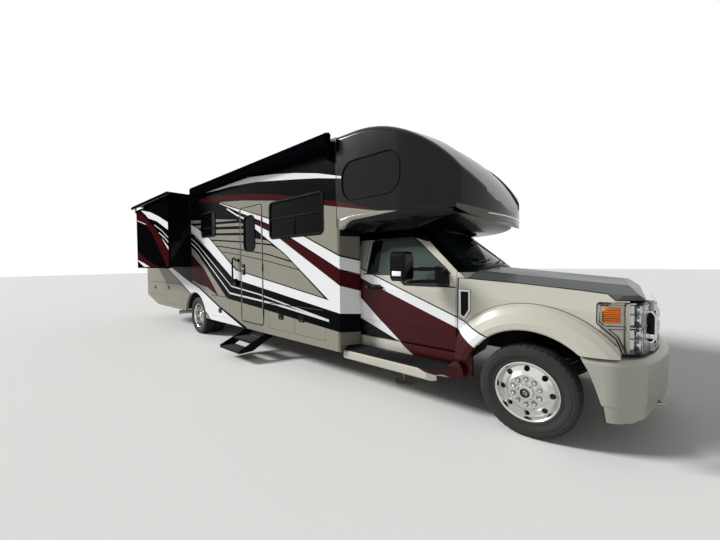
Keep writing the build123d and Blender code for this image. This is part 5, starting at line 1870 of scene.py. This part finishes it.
@dataclass
class Glazing:
    """Black clamp frames round the house windows, with their dividing bars."""

    width: float = 0.026
    proud: float = 0.009
    thin: float = 0.012
    thin_proud: float = 0.004

    def frame(self, pane: Pane) -> None:
        """Fits one frame and its bars.

        Args:
            pane: the window.
        """
        thin = pane.name.startswith("bunk")
        w, proud = (self.thin, self.thin_proud) if thin else (self.width, self.proud)
        (x0, x1), (z0, z1) = pane.x, pane.z
        piece = Piece(f"{pane.name}_frame")
        outer = round_outline((x0 - w, x1 + w), (z0 - w, z1 + w), pane.radius + w, 8)
        piece.slab(outer, *pane.side.pair(pane.out, -0.004, proud), Axis.Y, 0.002, hollow=w + 0.006)
        centre, middle = (x0 + x1) / 2, (z0 + z1) / 2 + 0.015
        deep = pane.side.pair(pane.out, -0.012, 0.002)
        if pane.sash is Sash.SLIDING:
            piece.box(pane.x, deep, (middle - 0.011, middle + 0.011), 0.002)
            piece.box((centre - 0.010, centre + 0.010), deep, (z0, middle), 0.002)
        elif pane.sash is Sash.VENT:
            piece.box(pane.x, deep, (middle - 0.09, middle - 0.07), 0.002)
        piece.done(Kit.WINDOW_FRAME, pane.body)

    def build(self) -> None:
        """Fits every frame."""
        for pane in HOUSE_PANES:
            self.frame(pane)


@dataclass
class SideDoors:
    """The entrance door's fittings and the latches and hinges of the luggage doors."""

    wall: float = 1.257
    rail_x: float = -4.745
    # Columns: metres ahead of the grab rail, metres out of the wall, and the height.
    rail: tuple[Spot, ...] = (
        (0.100, 0.0, 1.625), (0.100, 0.050, 1.625), (0.085, 0.068, 1.650), (0.040, 0.072, 1.668),
        (0.008, 0.072, 1.645), (0.0, 0.072, 1.600), (0.0, 0.072, 1.290), (0.0, 0.045, 1.245),
        (0.0, 0.0, 1.240),
    )
    # Columns: the luggage door, and its latch's station and height.
    latches: tuple[tuple[str, float, float], ...] = (
        ("baggage_door_front_right", -2.87, 0.76), ("baggage_door_step_right", -3.37, 0.74),
        ("baggage_door_middle_right", -5.42, 0.64), ("baggage_door_rear_right", -8.30, 0.96),
        ("baggage_door_tail_right", -9.35, 0.93), ("baggage_door_front_left", -5.20, 0.66),
        ("baggage_door_rear_left", -7.95, 0.72),
    )

    def entry(self) -> None:
        """Fits the entrance door's seal, edge frame, latch and hinges."""
        y = -self.wall
        seal = Piece("entry_door_seal")
        points = round_outline((-4.590, -3.850), (0.535, 2.550), 0.070)
        seal.slab(points, y - 0.003, y + 0.010, Axis.Y, 0.001, hollow=0.014).done(Kit.PLASTIC)
        edge = Piece("entry_door_frame")
        points = round_outline((-4.564, -3.876), (0.556, 2.524), 0.050)
        edge.slab(points, y - 0.004, y + 0.002, Axis.Y, 0.0015, hollow=0.012)
        edge.done(Kit.CHAMPAGNE_TRIM, "entry_door")
        plate = Piece("entry_latch_plate")
        points = round_outline((-4.522, -4.422), (1.365, 1.555), 0.018)
        plate.slab(points, y - 0.010, y + 0.004, Axis.Y, 0.003)
        plate.done(Kit.GLOSS_BLACK, "entry_door")
        paddle = Piece("entry_latch")
        paddle.box((-4.512, -4.437), (y - 0.022, y - 0.008), (1.455, 1.490), 0.006)
        for z, depth, radius in ((1.420, 0.008, 0.013), (1.528, 0.006, 0.010)):
            spot = at(-4.472, y - 0.008, z)
            paddle.rod(spot, spot - Vector((0, depth, 0)), radius, 20)
        paddle.done(Kit.STEEL, "entry_door")
        hinge = Piece("entry_door_hinges")
        for z in (0.75, 1.50, 2.25):
            hinge.rod(at(-3.858, y - 0.008, z - 0.06), at(-3.858, y - 0.008, z + 0.06), 0.008, 12)
        hinge.done(Kit.PLASTIC)

    def grab_rail(self) -> None:
        """Bends the grab rail beside the entrance, with its round foot and its lower bracket."""
        x, y = self.rail_x, -self.wall
        piece = Piece("entry_grab_rail")
        piece.pipe([at(x + ahead, y - out, z) for ahead, out, z in self.rail], 0.0155, 14)
        piece.rod(at(x + 0.100, y + 0.001, 1.625), at(x + 0.100, y - 0.010, 1.625), 0.034, 20)
        foot = round_outline((x - 0.045, x + 0.045), (1.165, 1.290), 0.020)
        piece.slab(foot, y - 0.034, y + 0.001, Axis.Y, 0.006).done(Kit.GLOSS_BLACK)

    def latch(self, door: str, side: Side, x: float, z: float) -> None:
        """Fits a flush paddle latch and its lock.

        Args:
            door: the luggage door, whose node and body share one name.
            side: the side of the vehicle.
            x: the latch's station.
            z: its height.
        """
        cup = Piece(f"{door}_latch_cup")
        outline = round_outline((x - 0.066, x + 0.066), (z - 0.044, z + 0.044), 0.016)
        cup.slab(outline, *side.pair(self.wall, -0.002, 0.005), Axis.Y, 0.002, hollow=0.010)
        cup.box((x - 0.060, x + 0.060), side.pair(self.wall, -0.002, 0.001), (z - 0.038, z + 0.038))
        cup.box((x - 0.046, x + 0.046), side.pair(self.wall, 0.0, 0.006), (z - 0.010, z + 0.031), 0.002)
        cup.done(Kit.GLOSS_BLACK, door)
        lock = Piece(f"{door}_latch_lock")
        spot = at(x, side.value * (self.wall + 0.0005), z - 0.023)
        lock.rod(spot, spot + Vector((0, side.value * 0.005, 0)), 0.009, 16).done(Kit.STEEL, door)

    def hinge(self, door: str, side: Side) -> None:
        """Lays the hinge's dark line along a luggage door's upper edge.

        Args:
            door: the luggage door.
            side: the side of the vehicle.
        """
        low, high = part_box(door)
        y, top = side.value * (self.wall + 0.004), high.z + 0.004
        piece = Piece(f"{door}_hinge")
        piece.rod(at(low.x - STATION + 0.03, y, top), at(high.x - STATION - 0.03, y, top), 0.005, 10)
        piece.done(Kit.PLASTIC)

    def build(self) -> None:
        """Fits the entrance door, its grab rail and every luggage door."""
        self.entry()
        self.grab_rail()
        for door, x, z in self.latches:
            side = Side.RIGHT if door.endswith("right") else Side.LEFT
            self.latch(door, side, x, z)
            self.hinge(door, side)


@dataclass
class SlideTrim:
    """The slide-out rooms' corner mouldings, wall seals and cloth toppers."""

    rooms: tuple[tuple[Side, Point, Point], ...] = (
        (Side.RIGHT, (-9.110, -6.790), (1.500, 2.960)),
        (Side.LEFT, (-6.000, -3.000), (1.120, 2.900)),
    )
    out: float = 1.707
    wall: float = 1.257
    sag: float = 0.022
    ripple: float = 0.0015
    cloth: float = 0.002

    def room(self, side: Side, x: Point, z: Point) -> None:
        """Trims one room with its corner mouldings and its seal on the wall.

        Args:
            side: the room's side.
            x: its stations.
            z: its heights.
        """
        for name, body, base, depth, grow, width, finish in (
            ("corner_moulding", f"slide_out_{side.word}", self.out, (-0.024, 0.003), 0.023, 0.030, Kit.CASE),
            ("wall_seal", "coach", self.wall, (0.0005, 0.008), 0.022, 0.020, Kit.PLASTIC),
        ):
            outline = round_outline((x[0] - grow, x[1] + grow), (z[0] - grow, z[1] + grow), 0.012, 3)
            piece = Piece(f"slide_{name}_{side.word}")
            piece.slab(outline, *side.pair(base, *depth), Axis.Y, 0.002, hollow=width).done(finish, body)

    def topper(self, side: Side) -> None:
        """Stretches the cloth over a room: a slightly sagging sheet from the wall to its roller.

        Args:
            side: the room's side.
        """
        word = side.word
        node = f"slide_topper_{word}"
        low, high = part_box(node)
        piece = Piece(f"topper_cloth_{word}")
        width, reach = high.x - low.x, high.y - low.y
        middle = (low + high) / 2
        place = Matrix.Translation(middle) @ Matrix.Diagonal((width / 2, reach / 2, 1.0, 1.0))
        bmesh.ops.create_grid(piece.form, x_segments=40, y_segments=12, size=1.0, matrix=place)
        for vert in piece.form.verts:
            across = (vert.co.x - low.x) / width
            out = (vert.co.y - low.y) / reach
            vert.co.z += -self.sag * math.sin(math.pi * across) * math.sin(math.pi * out)
            vert.co.z += self.ripple * math.sin(9 * math.tau * across) * math.sin(math.pi * out)
        made = piece.done(Kit.FABRIC, closed=False)
        thick = made.modifiers.new("cloth_thickness", "SOLIDIFY")
        thick.thickness = self.cloth
        thick.offset = 0.0
        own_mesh(made)
        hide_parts(node)

    def build(self) -> None:
        """Trims both rooms."""
        for side, x, z in self.rooms:
            self.room(side, x, z)
            self.topper(side)


@dataclass
class Awning:
    """The patio awning's end caps and the lead rail on its case."""

    x: Point = (-6.430, -2.190)
    wall: float = 1.257
    # The case's section: metres out of the wall, and heights.
    case: Line = (
        (0.033, 3.033), (0.059, 3.008), (0.116, 3.008), (0.142, 3.044), (0.142, 3.152), (0.116, 3.192),
        (0.054, 3.207), (0.033, 3.187),
    )

    def build(self) -> None:
        """Caps the case and adds its lines."""
        y = -self.wall
        section = [(y - out, z) for out, z in self.case]
        caps = Piece("awning_end_caps")
        for x, out in zip(self.x, (-1, 1)):
            caps.slab(section, x - out * 0.060, x + out * 0.004, Axis.X, 0.004)
        caps.done(Kit.CASE)
        rail = Piece("awning_lead_rail")
        for z in ((3.052, 3.066), (3.128, 3.136)):
            rail.box((self.x[0] + 0.06, self.x[1] - 0.06), (y - 0.1455, y - 0.139), z, 0.002)
        rail.done(Kit.CASE)


@dataclass
class CapTrim:
    """The sleeping cap's moulded skirt, brow lamp strip, joint seal and roof edge moulding."""

    floor: float = 2.120
    foot: float = 1.9445
    thickness: float = 0.003
    # Columns: the outer edge's station and y, the shoulder's height, the inner edge's station and y.
    rows: tuple[tuple[float, float, float, float, float], ...] = (
        (-2.088, -1.2595, 1.985, -2.088, -0.966), (-2.060, -1.2595, 1.990, -2.060, -0.966),
        (-2.005, -1.2595, 2.010, -2.005, -0.966), (-1.950, -1.2595, 2.055, -1.950, -0.966),
        (-1.900, -1.2595, 2.085, -1.900, -0.966), (-1.840, -1.2595, 2.098, -1.840, -0.966),
        (-1.600, -1.2595, 2.100, -1.620, -0.966), (-1.400, -1.2595, 2.088, -1.450, -0.966),
        (-1.227, -1.2595, 2.066, -1.340, -0.964), (-1.100, -1.2460, 2.054, -1.270, -0.925),
        (-0.985, -1.2090, 2.046, -1.190, -0.874), (-0.850, -1.1500, 2.042, -1.116, -0.822),
        (-0.750, -1.1050, 2.044, -1.065, -0.745), (-0.660, -1.0600, 2.052, -1.010, -0.655),
        (-0.644, -0.9000, 2.066, -0.965, -0.560), (-0.644, -0.6000, 2.078, -0.905, -0.400),
        (-0.644, -0.3000, 2.082, -0.855, -0.200), (-0.644, 0.0, 2.084, -0.838, 0.0),
    )

    def skirt(self) -> None:
        """Sweeps the moulded skirt from a soft shoulder below the cap's side to the cab's roof."""
        piece = Piece("cap_underside_skirt")
        lines = []
        for x, y, shoulder, inner_x, inner_y in self.rows:
            top = self.floor + (0.024 if x < -0.65 else 0.003)
            ends = (
                Vector((x, y, shoulder + 0.020)), Vector((x, y, shoulder - 0.034)),
                Vector((x + 0.45 * (inner_x - x), y + 0.45 * (inner_y - y), self.foot + 0.008)),
                Vector((inner_x, inner_y, self.foot)),
            )
            spots = [Vector((x, y, top))]
            for t in (i / 12 for i in range(13)):
                shares = ((1 - t) ** 3, 3 * t * (1 - t) ** 2, 3 * t * t * (1 - t), t ** 3)
                spots.append(sum((end * share for end, share in zip(ends, shares)), Vector()))
            lines.append([piece.form.verts.new(at(*spot)) for spot in spots])
        for low, high in zip(lines, lines[1:]):
            for corners in zip(low, low[1:], high[1:], high):
                piece.form.faces.new(corners)
        # The skirt's lower part takes the cap coat's black band: partly dark paint, partly painted shade.
        made = piece.both_sides().done(Kit.CAP)
        smooth = made.modifiers.new("even_curves", "SUBSURF")
        smooth.levels = smooth.render_levels = 1
        thick = made.modifiers.new("moulding_thickness", "SOLIDIFY")
        thick.thickness, thick.offset = self.thickness, -1.0

    def build(self) -> None:
        """Sets the skirt, the strip along the lip, the joint's seal and mouldings along the roof's edges."""
        self.skirt()
        skin = Skin("front_cap")
        route = [skin.from_front(-0.62 + 1.24 * i / 24, 2.085) + Vector((0.001, 0, 0)) for i in range(25)]
        Piece("brow_lamp_strip").pipe(route, 0.007, 8).done(Kit.LENS)
        seam, edge = Piece("cap_joint_seal"), Piece("roof_edge_moulding")
        for side in Side:
            seam.box((-2.135, -2.126), side.pair(0.0, 1.2545, 1.2590), (2.010, 3.085), 0.001)
            edge.box((-10.045, -2.140), side.pair(0.0, 1.238, 1.262), (3.080, 3.112), 0.004)
        seam.done(Kit.PLASTIC)
        edge.done(Kit.GLOSS_BLACK)


@dataclass
class RoofGear:
    """Louvres on the roof's two coolers and smoked lids on its three hatches."""

    coolers: tuple[float, ...] = (-3.9, -7.7)
    hatches: Line = ((-5.6, 0.0), (-9.4, 0.25), (-2.9, -0.3))
    lid_half: float = 0.150

    def build(self) -> None:
        """Dresses the coolers and the hatches."""
        louvres = Piece("cooler_louvres")
        for x in self.coolers:
            for i in range(12):
                y = -0.242 + i * 0.044
                for ends in ((x - 0.415, x - 0.395), (x + 0.395, x + 0.415)):
                    louvres.box(ends, (y - 0.014, y + 0.014), (3.330, 3.470), 0.003)
        louvres.done(Kit.PLASTIC)
        lids, half = Piece("hatch_lids"), self.lid_half
        for x, y in self.hatches:
            lids.box((x - half, x + half), (y - half, y + half), (3.388, 3.402), 0.006)
        lids.done(Kit.SMOKE)


@dataclass
class RearTrim:
    """The ladder's treads, the lamp clusters' cells and rims, and the bare number plate."""

    lamp_y: float = 1.130
    # Columns: the name, half the width, the heights, the corner radius, the stations and the frame's width.
    lamps: tuple[tuple[str, float, Point, float, Point, float], ...] = (
        ("turn_lamp_cells", 0.052, (1.265, 1.345), 0.018, (-10.0795, -10.070), 0.0),
        ("reversing_lamp_cells", 0.052, (0.958, 1.038), 0.018, (-10.0795, -10.070), 0.0),
        ("tail_lamp_rims", 0.072, (0.933, 1.367), 0.036, (-10.066, -10.049), 0.010),
    )

    def build(self) -> None:
        """Dresses the rear wall."""
        grips = Piece("ladder_treads")
        for z in range(1150, 3300, 300):
            grips.rod(at(-10.16, -0.965, z / 1000), at(-10.16, -0.635, z / 1000), 0.0165, 10)
        grips.done(Kit.PLASTIC)
        for (name, half, z, radius, x, width), finish in zip(self.lamps, (Kit.AMBER, Kit.LENS, Kit.PLASTIC)):
            piece = Piece(name)
            for y in (-self.lamp_y, self.lamp_y):
                outline = round_outline((y - half, y + half), z, radius)
                piece.slab(outline, *x, Axis.X, 0.003 if width else 0.002, hollow=width)
            piece.done(finish)
        plate = round_outline((0.52, 0.83), (1.02, 1.18), 0.012)
        Piece("number_plate").slab(plate, -10.062, -10.0515, Axis.X, 0.002).done(Kit.LENS)


@dataclass
class StepTrim:
    """Grip pads on the entrance step's two treads."""

    # The middle of each tread: its y and height.
    treads: Line = ((-1.325, 0.2895), (-1.556, 0.1775))

    def build(self) -> None:
        """Lays the pads."""
        pads = Piece("step_grip_pads")
        for y, z in self.treads:
            for i in range(7):
                line = y - 0.096 + i * 0.032
                pads.box((-4.520, -3.930), (line - 0.010, line + 0.010), (z - 0.001, z + 0.0035), 0.001)
        pads.done(Kit.RUBBER)


# Finishes of the CAD nodes.
class CadDress:
    """Gives the CAD nodes their finishes."""

    screen_from: float = -1.35
    cap_pane_from: float = -2.12
    cap_pane_above: float = 2.05
    # Of the name starts that a node matches, the longest counts.
    table: dict[Kit, tuple[str, ...]] = {
        Kit.HOUSE: ("side_wall", "rear_wall", "entry_door", "baggage_door", "slide_out_left"),
        Kit.CAP: ("front_cap",),
        Kit.FAIRING: ("front_bulkhead",),
        Kit.SLIDE: ("slide_out",),
        Kit.CAB_SHELL: ("cab_body",),
        Kit.CAB: ("cab_door", "front_fenders", "running_boards"),
        Kit.BUMPER: ("front_bumper",),
        Kit.HOOD: ("hood",),
        Kit.RUBBER: ("tyre",),
        Kit.POLISHED: ("wheel",),
        Kit.PLASTIC: ("dashboard", "fuel_tank", "luggage_trays"),
        Kit.GLOSS_BLACK: ("door_mirror",),
        Kit.CHASSIS: ("chassis_frame", "front_axle", "rear_axle", "engine_block", "entry_step"),
        Kit.CASE: ("patio_awning",),
        Kit.STEEL: ("exhaust_pipe", "leveling_jacks", "steering_knuckle", "rear_ladder"),
        Kit.DARK_CHROME: ("grille",),
        Kit.GLASS: ("fixed_windows", "entry_door_window", "slide_window"),
        Kit.DOOR_GLASS: ("cab_door_glass",),
        Kit.ROOF: ("roof_panel",),
        Kit.SHELL: ("roof_equipment",),
        Kit.FABRIC: ("slide_topper",),
        Kit.RED: ("tail_lamps",),
        Kit.LENS: ("headlamps",),
        Kit.SEAT: ("cab_seats",),
        Kit.WOOD: ("house_floor",),
    }

    def build(self) -> None:
        """Gives each CAD node its finish, and some faces a second one."""
        rows = ((start, finish) for finish, starts in self.table.items() for start in starts)
        order = sorted(rows, key=lambda row: len(row[0]))
        for name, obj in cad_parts.items():
            chosen = [finish for start, finish in order if name.startswith(start)][-1]
            obj.data.materials.clear()
            obj.data.materials.append(chosen.material)
            log.info("%s gets %s", name, chosen.value.name)
        self.dress_windscreen()
        folds = (("hood", 4, 0.010), ("front_fenders", 6, 0.006), ("front_bumper", 8, 0.006))
        for name, angle, width in folds:
            self.press(name, angle, width)
        for side in Side:
            name = f"slide_out_{side.word}"
            self.second(name, Kit.GLOSS_BLACK, lambda c, n: abs(n.y) < 0.6 or abs(c.y) < 1.65)
        # The cap's downward faces in gloss black: painted shade under the cap.
        self.second("front_cap", Kit.GLOSS_BLACK, lambda c, n: n.z < -0.5)
        self.second("running_boards", Kit.PLASTIC, lambda c, n: n.z > 0.8 and c.x < STATION - 0.9)

    @staticmethod
    def press(name: str, angle: float, width: float) -> None:
        """Rounds a panel's folds as pressing leaves them, so that each shows a soft line of light.

        Args:
            name: the node.
            angle: the least fold that is rounded, in degrees.
            width: the rounding in metres.
        """
        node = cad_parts[name]
        weld = node.modifiers.new("joined_faces", "WELD")
        weld.merge_threshold = 0.0001
        flat = node.modifiers.new("whole_flats", "DECIMATE")
        flat.decimate_type = "DISSOLVE"
        flat.angle_limit = math.radians(0.4)
        fold = node.modifiers.new("pressed_folds", "BEVEL")
        fold.limit_method = "ANGLE"
        fold.angle_limit = math.radians(angle)
        fold.width, fold.segments = width, 3
        even = node.modifiers.new("even_light", "WEIGHTED_NORMAL")
        even.weight, even.keep_sharp = 50, False

    @staticmethod
    def second(name: str, finish: Kit, chosen: Callable[[Vector, Vector], bool]) -> None:
        """Gives some faces of a CAD node a second finish.

        Args:
            name: the node.
            finish: the second finish.
            chosen: says of a face's middle and normal whether it takes it.
        """
        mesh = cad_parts[name].data
        mesh.materials.append(finish.material)
        for face in mesh.polygons:
            face.material_index = int(chosen(face.center, face.normal))

    def dress_windscreen(self) -> None:
        """Gives the windscreen the cab's lighter tint, and the cap's panes their flush glass."""
        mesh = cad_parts["fixed_windows"].data
        for finish in (Kit.CAB_GLASS, Kit.CAP_PANE):
            mesh.materials.append(finish.material)
        for face in mesh.polygons:
            x = face.center.x - STATION
            if face.center.z > self.cap_pane_above:
                face.material_index = 2 if x > self.cap_pane_from else 0
            else:
                face.material_index = 1 if x > self.screen_from else 0


def main() -> None:
    """Builds the scene in order."""
    logging.basicConfig(level=logging.INFO, format="%(name)s: %(message)s")
    PhotoCamera().build()
    Studio().build()
    CadDress().build()
    for part in (
        RoadWheels, Arches, Headlamps, Grille, CabTrim, BoardTrim, Glazing, SideDoors, SlideTrim, Awning,
        CapTrim, RoofGear, RearTrim, StepTrim,
    ):
        part().build()


if __name__ == "__main__":
    main()
